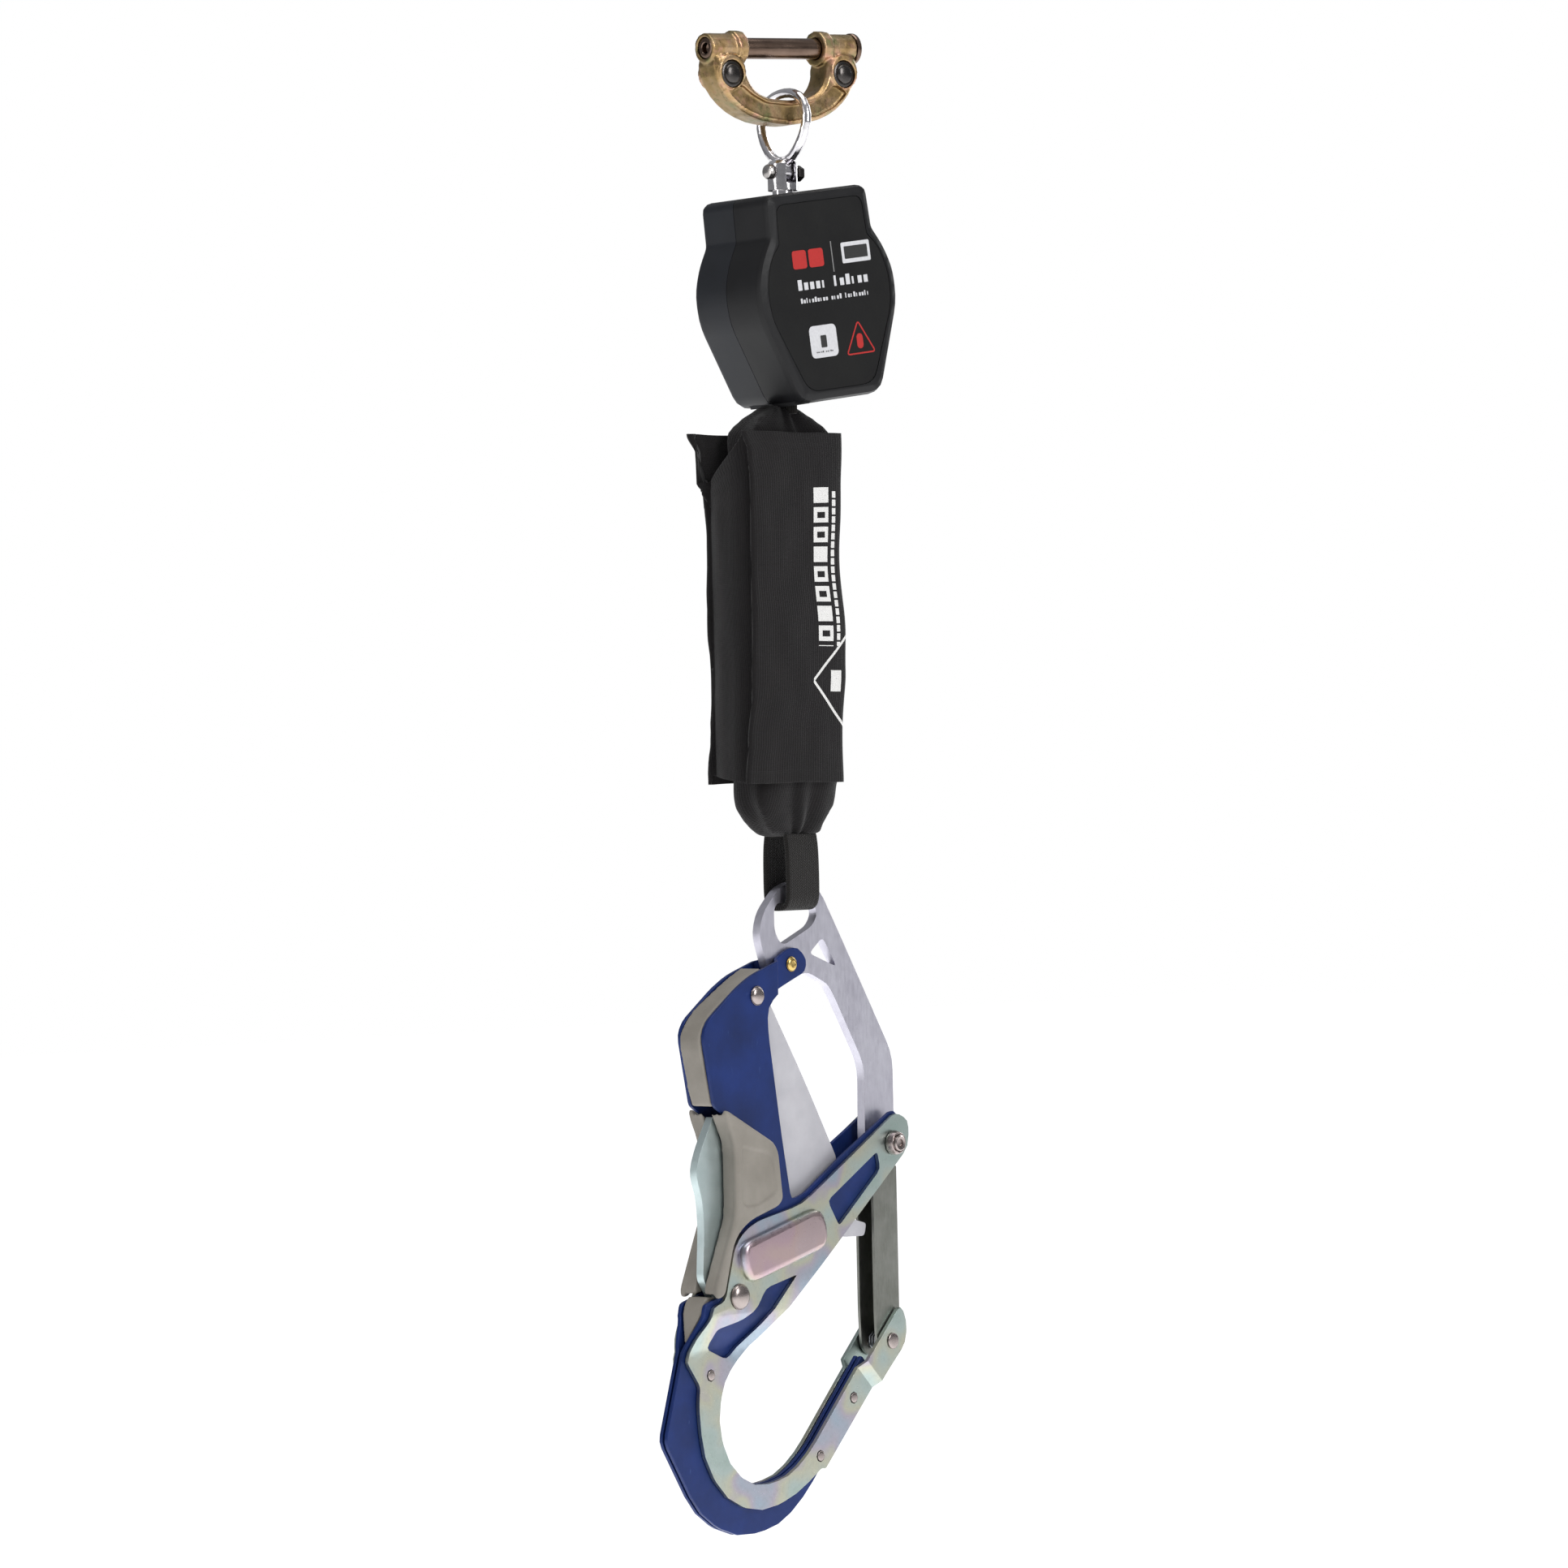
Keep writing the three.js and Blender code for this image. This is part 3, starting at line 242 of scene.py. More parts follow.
def makeSteel(name, base, rough, streak=(1, 1, 12), cast=0.25, grain=900, dark=None, metal=1.0):
    finish = Finish(name, base, rough, metal)
    lines = finish.noise(grain, 3, 0.6, stretch=streak)
    cloud = finish.noise(70, 3)
    low = dark or base
    tint = finish.ramp(cloud * 0.6 + lines * 0.4, [(0.3, colour(low)), (0.7, colour(base))])
    finish.set("Base Color", tint)
    finish.set("Roughness", greyRange(lines * 0.5 + finish.noise(240, 4) * 0.5, rough * 0.75, rough * 1.3))
    finish.bump(lines, cast, 0.00006)
    return finish.material


def makePolished():
    finish = Finish("polishedSteel", "#dcdadd", 0.13, 1.0)
    shades = [(0.35, colour("#cfcdd2")), (0.65, colour("#e6e3e4"))]
    finish.set("Base Color", finish.ramp(finish.noise(60, 2), shades))
    finish.set("Roughness", greyRange(finish.noise(500, 4), 0.09, 0.24))
    finish.bump(finish.noise(700, 3), 0.12, 0.00005)
    return finish.material


def makeBlackPlastic():
    finish = Finish("blackPlastic", "#101114", 0.46, Specular_IOR_Level=0.3)
    cloud = finish.noise(40, 3)
    front = finish.ramp(cloud, [(0.3, colour("#070709")), (0.75, colour("#0d0d10"))])
    rear = finish.ramp(cloud, [(0.3, colour("#121419")), (0.75, colour("#191c22"))])
    depth = finish.axes()[1]  # painted shade: the front shell is painted darker than the rear shell, standing in for the different light on their drafted sides
    finish.set("Base Color", front.blendTo(depth.clip(-0.0001, 0.0001), rear))
    dust = finish.noise(1500, 5).clip(0.6, 0.8)
    finish.set("Roughness", greyRange(cloud, 0.42, 0.52) + dust * 0.12)
    finish.bump(finish.noise(4200, 2) + finish.noise(1400, 2) * 0.5, 0.16, 0.00008)
    return finish.material


def makeLabelFilm():
    finish = Finish("labelFilm", "#0e0e0e", 0.6, Specular_IOR_Level=0.2)
    shades = [(0.3, colour("#0d0d0e")), (0.7, colour("#131313"))]
    finish.set("Base Color", finish.ramp(finish.noise(55, 3), shades))
    finish.set("Roughness", greyRange(finish.noise(800, 3), 0.48, 0.62))
    finish.bump(finish.noise(5200, 2), 0.12, 0.00005)
    return finish.material


def makePrint(name, base):
    finish = Finish(name, base, 0.5)
    shades = [(0.3, colour(base)), (0.8, [c * 0.86 for c in colour(base)[:3]])]
    finish.set("Base Color", finish.ramp(finish.noise(900, 3), shades))
    finish.set("Roughness", greyRange(finish.noise(1500, 2), 0.42, 0.58))
    return finish.material


def makeZincPlate():
    finish = Finish("zincPlate", "#b4b9b8", 0.32, 1.0)
    drift = finish.noise(26, 2, where=None)
    tint = finish.ramp(drift, [(0.28, colour("#98aaa4")), (0.42, colour("#a6b3af")),
                               (0.52, colour("#b3b3a2")),
                               (0.58, colour("#a9a3ae")), (0.68, colour("#9aa8b6"))])
    fine = finish.noise(520, 4)
    tint = tint.blendTo(fine.clip(0.55, 0.8) * 0.35, colour("#8f9593"))
    across, deep, _ = finish.axes()
    raised = abs(across * math.sin(math.radians(9)) - deep * math.cos(math.radians(9))).clip(0.0132, 0.0146)
    # the pressed pads took a pinker bath
    finish.set("Base Color", tint.blendTo(raised * 0.7, colour("#b99aa0")))
    finish.set("Roughness", greyRange(fine, 0.24, 0.42))
    scratch = finish.noise(900, 2, stretch=(1, 1, 0.06)).clip(0.62, 0.72)
    finish.bump(fine * 0.6 + scratch * 0.4, 0.2, 0.00007)
    return finish.material


def makeBluePaint():
    finish = Finish("bluePaint", "#10265c", 0.42, 0.35, Coat_Roughness=0.25, Specular_IOR_Level=0.3)
    cloud = finish.noise(45, 3)
    tint = finish.ramp(cloud, [(0.3, colour("#0e2354")), (0.7, colour("#142d6b"))])
    rub = finish.noise(700, 4, stretch=(1, 1, 0.15)).clip(0.68, 0.74)
    specks = finish.noise(2600, 2).clip(0.7, 0.76)
    tint = tint.blendTo(rub * 0.35 + specks * 0.25, colour("#4d69a8"))
    finish.set("Base Color", tint)
    finish.set("Coat Weight", 0.08)
    finish.set("Roughness", greyRange(finish.noise(380, 4), 0.36, 0.5))
    finish.bump(finish.noise(1700, 3) + rub * 0.4, 0.14, 0.00006)
    return finish.material


def makeGreyGrip():
    finish = Finish("greyGrip", "#827d76", 0.6, Specular_IOR_Level=0.4)
    tint = finish.ramp(finish.noise(50, 3), [(0.3, colour("#7a756d")), (0.7, colour("#89847c"))])
    tint = tint.blendTo(finish.noise(2400, 3).clip(0.6, 0.75) * 0.4, colour("#6e6962"))
    finish.set("Base Color", tint)
    finish.set("Roughness", greyRange(finish.noise(600, 3), 0.52, 0.68))
    finish.bump(finish.noise(3200, 3), 0.25, 0.0001)
    return finish.material


def makeTriggerPaint():
    finish = Finish("triggerPaint", "#b1b0b6", 0.5, 0.15)
    shades = [(0.3, colour("#aaa9af")), (0.7, colour("#b8b7bc"))]
    finish.set("Base Color", finish.ramp(finish.noise(60, 3), shades))
    finish.set("Roughness", greyRange(finish.noise(900, 3), 0.44, 0.58))
    finish.bump(finish.noise(1900, 3), 0.28, 0.0001)
    return finish.material


def makeCloth(name, base="#100e0f", along="UV", pitch=0.7):
    finish = Finish(name, base, 0.93, Sheen_Weight=0.12, Sheen_Roughness=0.5, Specular_IOR_Level=0.2)
    place = finish.start.make("ShaderNodeTexCoord", out="UV") if along == "UV" else finish.here
    across, deep, up = finish.axes(place)
    if along != "UV":
        across = across + deep
        down = up
    else:
        down = deep
    turns = 1 / (pitch * mm)
    warp = across.wave(turns)
    weft = down.wave(turns)
    checker = (across * turns * 0.5 % 1.0 > 0.5) * 1.0
    weave = warp * checker + weft * (1 - checker)
    cloud = finish.noise(60, 4)
    tint = finish.ramp(cloud, [(0.3, colour(base)), (0.75, colour("#181516"))])
    lint = finish.noise(2300, 3).clip(0.67, 0.75)
    tint = tint.blendTo(weave * 0.45, colour("#0c0b0c"))
    finish.set("Base Color", tint.blendTo(lint * 0.3, colour("#4b494b")))
    finish.set("Roughness", greyRange(cloud, 0.86, 0.98))
    finish.bump(weave + finish.noise(900, 2) * 0.7, 0.55, 0.0003)
    return finish


def makeWebbing(name="blackWeb", base="#191615"):
    finish = Finish(name, base, 0.85, Sheen_Weight=0.12, Sheen_Roughness=0.45, Specular_IOR_Level=0.25)
    place = finish.start.make("ShaderNodeTexCoord", out="UV")
    across, along, _ = finish.axes(place)
    vee = abs(across % 0.0028 - 0.0014)
    ribs = (along + vee * 1.2).wave(1 / (1.3 * mm))
    rows = across.wave(1 / (1.4 * mm))
    cloud = finish.noise(90, 3)
    shades = [(0.2, colour("#090807")), (0.8, colour("#1a1715"))]
    finish.set("Base Color", finish.ramp(ribs * 0.6 + cloud * 0.4, shades))
    finish.set("Roughness", greyRange(ribs, 0.75, 0.92))
    finish.bump(ribs + rows * 0.5, 0.7, 0.0003)
    return finish.material


steelSettings = {
    "darkPin": dict(base="#7a675b", rough=0.24, dark="#57473e", streak=(0.08, 1, 1)),
    "darkSteel": dict(base="#54514f", rough=0.26, dark="#3d3a39"),
    "brightSteel": dict(base="#c4c0bd", rough=0.24, dark="#a9a5a3"),
    "springSteel": dict(base="#93969a", rough=0.32, dark="#7d8084"),
    "stampedSteel": dict(base="#cfced8", rough=0.4, dark="#bab8c4", streak=(1, 1, 0.15), cast=0.35),
    "gateSteel": dict(base="#8f908b", rough=0.42, dark="#71736c", streak=(1, 1, 0.2), cast=0.35),
    "rivetSteel": dict(base="#b0a6a2", rough=0.26, dark="#8d8281"),
    "leverZinc": dict(base="#ccd8d9", rough=0.46, dark="#b3c3c3"),
    "bronze": dict(base="#c8a873", rough=0.4, dark="#a98b5a"),
    "brassRivet": dict(base="#d8bd78", rough=0.24, dark="#b2975a"),
}
steels = {name: makeSteel(name, **values) for name, values in steelSettings.items()}
coverCloth = makeCloth("coverCloth")
pouchCloth = makeCloth("pouchCloth", along="Object")
finishes = {
    "yellow_zinc": makeYellowZinc(), "dark_pin": steels["darkPin"], "dark_steel": steels["darkSteel"],
    "polished_steel": makePolished(), "bright_steel": steels["brightSteel"], "bronze": steels["bronze"],
    "black_plastic": makeBlackPlastic(), "label_film": makeLabelFilm(), "zinc_plate": makeZincPlate(),
    "spring_steel": steels["springSteel"], "black_web": makeWebbing(), "black_fabric": pouchCloth.material,
    "stamped_steel": steels["stampedSteel"], "blue_paint": makeBluePaint(), "grey_grip": makeGreyGrip(),
    "trigger_paint": makeTriggerPaint(), "gate_steel": steels["gateSteel"],
    "rivet_steel": steels["rivetSteel"],
    "brass_rivet": steels["brassRivet"], "lever_zinc": steels["leverZinc"],
}
slotOf = {item["node"]: item["material_slot"] for item in frame["record"]["subparts"]}
looks = {**slotOf, "palm_lever": "lever_zinc"}  # nodes that look unlike the rest of their slot
bodyOf = {node: body for body, members in frame["record"]["behaviour"]["bodies"].items() for node in members}
print("finishes made")


def paint(thing, material):
    thing.data.materials.clear()
    thing.data.materials.append(material)


def finishPiece(thing, name, replaced, slotName=None, body=None):
    thing.name = name
    thing.data.name = name
    first = replaced[0]
    paint(thing, finishes[slotName or slotOf[first]])
    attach(thing, body or bodyOf[first])
    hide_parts(*replaced)
    return thing


# ---- CAD nodes that stay: welded, with small rounded edges ----------

edgeRounds = {
    "housing_front_shell": 0.5, "housing_rear_shell": 0.5, "front_label": 0.15, "web_guide": 0.4,
    "eye_plate": 0.7, "blue_plate_front": 0.45, "blue_plate_rear": 0.45, "outer_plate_front": 0.5,
    "outer_plate_rear": 0.5, "palm_lever": 0.7, "trigger": 0.7, "gate": 0.5, "swivel_post": 0.4,
    "swivel_nut": 0.35, "jaw_nut": 0.4,
}
for name, node in nodes.items():
    paint(node, finishes[looks[name]])
    for face in node.data.polygons:
        face.use_smooth = True
    addModifier(node, "WELD", merge_threshold=0.00002)
    if "spring" in name:
        continue
    addModifier(node, "BEVEL", width=edgeRounds.get(name, 0.25) * mm, segments=2, limit_method="ANGLE",
                angle_limit=math.radians(38), harden_normals=False, use_clamp_overlap=True)
    addModifier(node, "WEIGHTED_NORMAL", keep_sharp=False, weight=60)
print("CAD nodes painted")


# ---- turned pieces: pins, buttons, rivets ---------------------------

def turned(profile, centre, axis=(0, 0, 1), sides=48):  # profile is (radius, height) in mm, from the base up
    bpy.ops.mesh.primitive_circle_add(vertices=sides, radius=profile[0][0] * mm, fill_type="NGON",
                                      location=(0, 0, profile[0][1] * mm))
    piece = bpy.context.object
    settle(piece)
    bpy.ops.object.mode_set(mode="EDIT")
    bpy.ops.mesh.select_all(action="SELECT")
    for (radius, height), (nextRadius, nextHeight) in zip(profile, profile[1:]):
        bpy.ops.mesh.extrude_region_move(TRANSFORM_OT_translate={"value": (0, 0, (nextHeight - height) * mm)})
        grow = nextRadius / radius
        bpy.ops.transform.resize(value=(grow, grow, 1), center_override=(0, 0, nextHeight * mm))
    bpy.ops.object.mode_set(mode="OBJECT")
    aim = Vector(axis).to_track_quat("Z", "Y").to_matrix().to_4x4()
    piece.matrix_world = Matrix.Translation(Vector(centre)) @ aim
    settle(piece)
    tidyNormals(piece)
    smooth(piece, 32)
    return piece


def dome(radius, rise, base, steps=7, flat=0.06):  # a low dome that ends in a tiny flat
    points = []
    for step in range(steps + 1):
        angle = math.pi / 2 * step / steps
        points.append((max(radius * math.cos(angle), radius * flat), base + rise * math.sin(angle)))
    return points


def middleOf(name):
    low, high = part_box(name)
    return (low + high) / 2


def hingeOf(name):
    joint = next(item for item in frame["joints"] if item["name"] == name)
    return Vector(joint["pos_m"]), Vector(joint["axis"])


def slideAxis(name):
    return Vector(next(item for item in frame["joints"] if item["name"] == name)["axis"])


pinAxis = slideAxis("pin_slide")
harnessPin = {"radius": 5.2, "reach": 46.2, "head": 7.8, "socket": 2.6}


def makeHarnessPin():
    p = harnessPin
    body = [(p["socket"] * 0.6, -p["reach"] + 4.2), (p["socket"], -p["reach"] + 3.4),
            (p["socket"], -p["reach"] + 0.7),
            (p["socket"] + 0.4, -p["reach"] + 0.3), (p["radius"] - 1.0, -p["reach"] + 0.25),
            (p["radius"] - 0.3, -p["reach"] + 0.6), (p["radius"], -p["reach"] + 1.4),
            (p["radius"], p["reach"] + 0.5),
            (p["head"] - 0.4, p["reach"] + 0.6), (p["head"], p["reach"] + 1.1), (p["head"], p["reach"] + 2.6),
            (p["head"] - 0.9, p["reach"] + 3.4), (p["socket"], p["reach"] + 3.45),
            (p["socket"], p["reach"] + 1.6),
            (0.4, p["reach"] + 1.2)]
    pin = turned(body, (0, 0, 0), pinAxis, 64)
    finishPiece(pin, "harnessPin", ["connector_pin"])


lockButton = {"radius": 6.4, "rise": 2.0, "rim": 0.5}


def makeLockButtons():
    b = lockButton
    for side in ("left", "right"):
        for kind, body in (("button", f"button_{side}"), ("cap", "connector")):
            node = f"lock_{kind}_{side}"
            low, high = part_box(node)
            centre = (low + high) / 2
            facing = -1 if kind == "button" else 1
            length = (high.y - low.y) / mm
            rise = b["rise"]
            profile = [(b["radius"], 0), (b["radius"], length - rise - 0.3),
                       (b["radius"] - b["rim"], length - rise)]
            profile += dome(b["radius"] - 1.5, rise * 0.95, length - rise)
            back = high.y if facing < 0 else low.y
            piece = turned(profile, (centre.x, back, centre.z), (0, facing, 0), 56)
            finishPiece(piece, f"lock{kind.title()}{side.title()}", [node], body=body)


def makeHookRivets():
    hookY = hingeOf("gate_swing")[1]
    heads = {  # head radius, place of the head's underside, rise, bore mark radius
        "gate_pivot_rivet": (4.0, 9.3, 0.8, 0), "trigger_rivet": (4.8, 8.9, 2.2, 0),
        "lever_rivet": (6.4, 11.4, 3.0, 0),
        "brass_rivet": (3.7, 5.0, 1.7, 1.5), "bowl_rivet_1": (2.5, 5.15, 0.5, 0),
        "bowl_rivet_2": (2.5, 5.15, 0.5, 0),
        "bowl_rivet_3": (2.5, 5.15, 0.5, 0),
    }
    for node, (head, face, rise, mark) in heads.items():
        shank = head * 0.62
        top = dome(head - 0.25, rise - 0.25, face + 0.25)
        if mark:  # a shallow ring where the tool pressed the head
            top = [point for point in top if point[0] > mark + 0.3]
            last = top[-1][1]
            top += [(mark + 0.25, last + 0.05), (mark, last - 0.25), (0.2, last - 0.3)]
        half = [(shank, 0), (shank, face - 0.05), (head, face), (head, face + 0.25)] + top
        low = [(radius, -height) for radius, height in reversed(half[1:])]
        piece = turned(low + half[1:], middleOf(node), hookY, 40)
        finishPiece(piece, node.replace("_", ""), [node])


def makeJawBolt():
    hookY = hingeOf("gate_swing")[1]
    start = -17.1
    profile = [(0.4, start + 1.4), (1.9, start + 1.3), (2.1, start + 0.4), (3.3, start + 0.1),
               (3.9, start + 0.7),
               (3.9, 11.6), (5.6, 11.65), (5.6, 14.4), (5.2, 15.2), (3.8, 16.0), (2.1, 16.1), (2.1, 13.6),
               (0.4, 13.4)]
    bolt = turned(profile, middleOf("jaw_bolt"), hookY, 48)
    finishPiece(bolt, "jawBolt", ["jaw_bolt"])


def makeSwivelPin():
    low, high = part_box("swivel_cross_pin")
    centre = (low + high) / 2
    span = (high.x - low.x) / mm
    profile = [(2.4, span / 2), (2.5, span / 2 - 0.3), (2.5, -span / 2 + 3.0), (3.7, -span / 2 + 2.9),
               (3.7, -span / 2 + 1.6), (3.3, -span / 2 + 0.8), (1.6, -span / 2 + 0.1),
               (0.3, -span / 2 + 0.05)]
    pin = turned([(radius, -height) for radius, height in profile], centre, (-1, 0, 0), 40)
    finishPiece(pin, "swivelPin", ["swivel_cross_pin"])


makeHarnessPin()
makeLockButtons()
makeHookRivets()
makeJawBolt()
makeSwivelPin()
print("turned pieces made")


# ---- forged and moulded pieces: rounded copies of their CAD solids ---

def roundedCopy(node, name, voxel, rounds, factor=0.5):
    copy = nodes[node].copy()
    copy.data = nodes[node].data.copy()
    copy.modifiers.clear()
    copy.parent = None
    for key in list(copy.keys()):
        del copy[key]
    bpy.context.scene.collection.objects.link(copy)
    tidyNormals(copy, 0.00002)
    addModifier(copy, "REMESH", mode="VOXEL", voxel_size=voxel * mm, adaptivity=0.0)
    addModifier(copy, "SMOOTH", factor=factor, iterations=rounds)
    applyAll(copy)
    pick(copy)
    bpy.ops.object.shade_smooth()
    return finishPiece(copy, name, [node])


forged = {  # node: (piece, voxel in mm, rounds of smoothing)
    "connector_frame": ("connectorForging", 0.5, 5), "swivel_eye": ("swivelRing", 0.4, 7),
    "grip_half_front": ("gripFront", 0.55, 4), "grip_half_rear": ("gripRear", 0.55, 4),
    "grip_spine": ("gripSpine", 0.7, 6), "grip_tail": ("gripTail", 0.5, 4),
}
for node, (name, voxel, rounds) in forged.items():
    roundedCopy(node, name, voxel, rounds)
print("forged and moulded pieces made")


# ---- printed marks on the housing's label ----------------------------

housingLean = {"roll": -8.0, "x": 2.0, "z": -71.5, "face": -26.02, "thick": 0.16}


def toHousing(piece):
    lean = housingLean
    turn = Matrix.Rotation(math.radians(lean["roll"]), 4, "Y")
    piece.matrix_world = Matrix.Translation((lean["x"] * mm, 0, lean["z"] * mm)) @ turn @ piece.matrix_world
    settle(piece)


def panel(x0, x1, z0, z1, corner=0.0, lift=0.0):  # a thin printed patch, corners rounded
    centre = ((x0 + x1) / 2 * mm, (housingLean["face"] - lift) * mm, (z0 + z1) / 2 * mm)
    bpy.ops.mesh.primitive_plane_add(size=1, location=centre, rotation=(math.pi / 2, 0, 0))
    piece = bpy.context.object
    piece.scale = ((x1 - x0) * mm, (z1 - z0) * mm, 1)
    settle(piece)
    pick(piece)
    bpy.ops.object.mode_set(mode="EDIT")
    bpy.ops.mesh.select_all(action="SELECT")
    if corner:
        bpy.ops.mesh.bevel(offset=corner * mm, segments=5, affect="VERTICES")
    bpy.ops.mesh.select_all(action="SELECT")
    bpy.ops.mesh.extrude_region_move(TRANSFORM_OT_translate={"value": (0, housingLean["thick"] * mm, 0)})
    bpy.ops.object.mode_set(mode="OBJECT")
    tidyNormals(piece)
    return piece


def joined(pieces):
    deselect()
    for piece in pieces:
        piece.select_set(True)
    bpy.context.view_layer.objects.active = pieces[0]
    if len(pieces) > 1:
        bpy.ops.object.join()
    return bpy.context.object


def ringFrame(x, z, radius, width, corner):  # an outlined triangle
    bpy.ops.mesh.primitive_circle_add(vertices=3, radius=radius * mm, fill_type="NGON",
                                      location=(x * mm, housingLean["face"] * mm, z * mm),
                                      rotation=(math.pi / 2, 0, 0))
    piece = bpy.context.object
    settle(piece)
    pick(piece)
    bpy.ops.object.mode_set(mode="EDIT")
    bpy.ops.mesh.select_all(action="SELECT")
    bpy.ops.mesh.bevel(offset=corner * mm, segments=5, affect="VERTICES")
    bpy.ops.mesh.select_all(action="SELECT")
    bpy.ops.mesh.inset(thickness=width * mm, depth=0)
    bpy.ops.mesh.delete(type="FACE")
    bpy.ops.mesh.select_all(action="SELECT")
    bpy.ops.mesh.extrude_region_move(TRANSFORM_OT_translate={"value": (0, housingLean["thick"] * mm, 0)})
    bpy.ops.object.mode_set(mode="OBJECT")
    tidyNormals(piece)
    return piece


printRed = makePrint("printRed", "#a91a16")
printWhite = makePrint("printWhite", "#c6c6c9")
printGrey = makePrint("printGrey", "#777777")
printBlack = makePrint("printBlack", "#202020")


strokes = {"l": (0.36, 1.0), "n": (0.66, 0.7), "i": (0.3, 0.7), "b": (0.66, 1.0)}  # width and height shares


def textBars(x0, x1, z0, z1, pattern, lift=0.0):  # plain strokes in a row, in place of words
    pitch = (x1 - x0) / len(pattern)
    bars = []
    for index, kind in enumerate(pattern):
        if kind in strokes:
            wide, tall = strokes[kind]
            left = x0 + index * pitch
            corner = min(0.25, wide * pitch * 0.3)
            bars.append(panel(left, left + wide * pitch, z0, z0 + tall * (z1 - z0), corner, lift))
    return bars


labelMarks = {
    "markRed": (printRed, lambda: [panel(-21.5, -12.5, -37.5, -28.5, 1.4),
                                   panel(-11.0, -1.5, -37.5, -28.5, 1.4)]),
    "markDivider": (printGrey, lambda: [panel(3.9, 4.5, -41, -26)]),
    "markWhite": (printWhite, lambda: [panel(10.5, 29.0, -37.6, -27.4, 0.8),
                                       panel(-16.8, 0.6, -81.8, -66.0, 2.6)]
                  + textBars(-20.0, 26.6, -48.0, -42.8, "bnnni lnbinn")
                  + textBars(-19.4, 25.6, -54.4, -51.9, "bnlinbninn ninb lnibinnli")),
    "markTriangle": (printRed, lambda: [ringFrame(15.2, -77.0, 11.4, 0.75, 2.4),
                                        panel(13.2, 17.2, -80.0, -72.6, 1.9)]),
}
for name, (material, build) in labelMarks.items():
    piece = joined(build())
    toHousing(piece)
    piece.name = name
    paint(piece, material)
    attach(piece, "housing")


def insetMarks():  # black on the white marks, lifted clear of them
    lift = 0.06
    piece = joined([panel(12.2, 27.3, -35.6, -29.4, 0.5, lift), panel(-10.0, -6.2, -77.0, -71.0, 0.5, lift)]
                   + textBars(-13.6, -2.6, -79.4, -78.5, "nninb nnibn", lift))
    toHousing(piece)
    piece.name = "markInset"
    paint(piece, printBlack)
    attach(piece, "housing")


insetMarks()
print("label marks made")


# ---- absorber pouch, cover and webbing -------------------------------

def stacked(levels, sides=(10, 6)):  # levels of (z, x, half width, half depth) in mm, from the bottom up
    z, x, wide, deep = levels[0]
    bpy.ops.mesh.primitive_grid_add(x_subdivisions=sides[0], y_subdivisions=sides[1], size=1,
                                    location=(x * mm, 0, z * mm))
    piece = bpy.context.object
    piece.scale = (2 * wide * mm, 2 * deep * mm, 1)
    settle(piece)
    pick(piece)
    bpy.ops.object.mode_set(mode="EDIT")
    bpy.ops.mesh.select_all(action="SELECT")
    for nextZ, nextX, nextWide, nextDeep in levels[1:]:
        away = ((nextX - x) * mm, 0, (nextZ - z) * mm)
        bpy.ops.mesh.extrude_region_move(TRANSFORM_OT_translate={"value": away})
        bpy.ops.transform.resize(value=(nextWide / wide, nextDeep / deep, 1),
                                 center_override=(nextX * mm, 0, nextZ * mm))
        z, x, wide, deep = nextZ, nextX, nextWide, nextDeep
    bpy.ops.object.mode_set(mode="OBJECT")
    tidyNormals(piece)
    return piece


# the cloth swells, but no point moves further than cap
def puff(piece, pressure, cap, frames=20, stiffness=12):
    scene = bpy.context.scene
    rest = [vertex.co.copy() for vertex in piece.data.vertices]
    cloth = piece.modifiers.new("Cloth", "CLOTH")
    cloth.settings.quality = 5
    cloth.settings.mass = 0.3
    cloth.settings.tension_stiffness = stiffness
    cloth.settings.compression_stiffness = stiffness
    cloth.settings.bending_stiffness = 0.4
    cloth.settings.use_pressure = True
    cloth.settings.uniform_pressure_force = pressure
    cloth.settings.effector_weights.gravity = 0
    cloth.point_cache.frame_start = 1
    cloth.point_cache.frame_end = frames
    for step in range(1, frames + 1):
        scene.frame_set(step)
    applyAll(piece)
    scene.frame_set(1)
    for vertex, old in zip(piece.data.vertices, rest):
        move = vertex.co - old
        if move.length > cap:
            vertex.co = old + move.normalized() * cap


pouch = {"voxel": 3.2, "pressure": 4.0, "cap": 4.0, "crease": 1.1, "gather": 1.3}


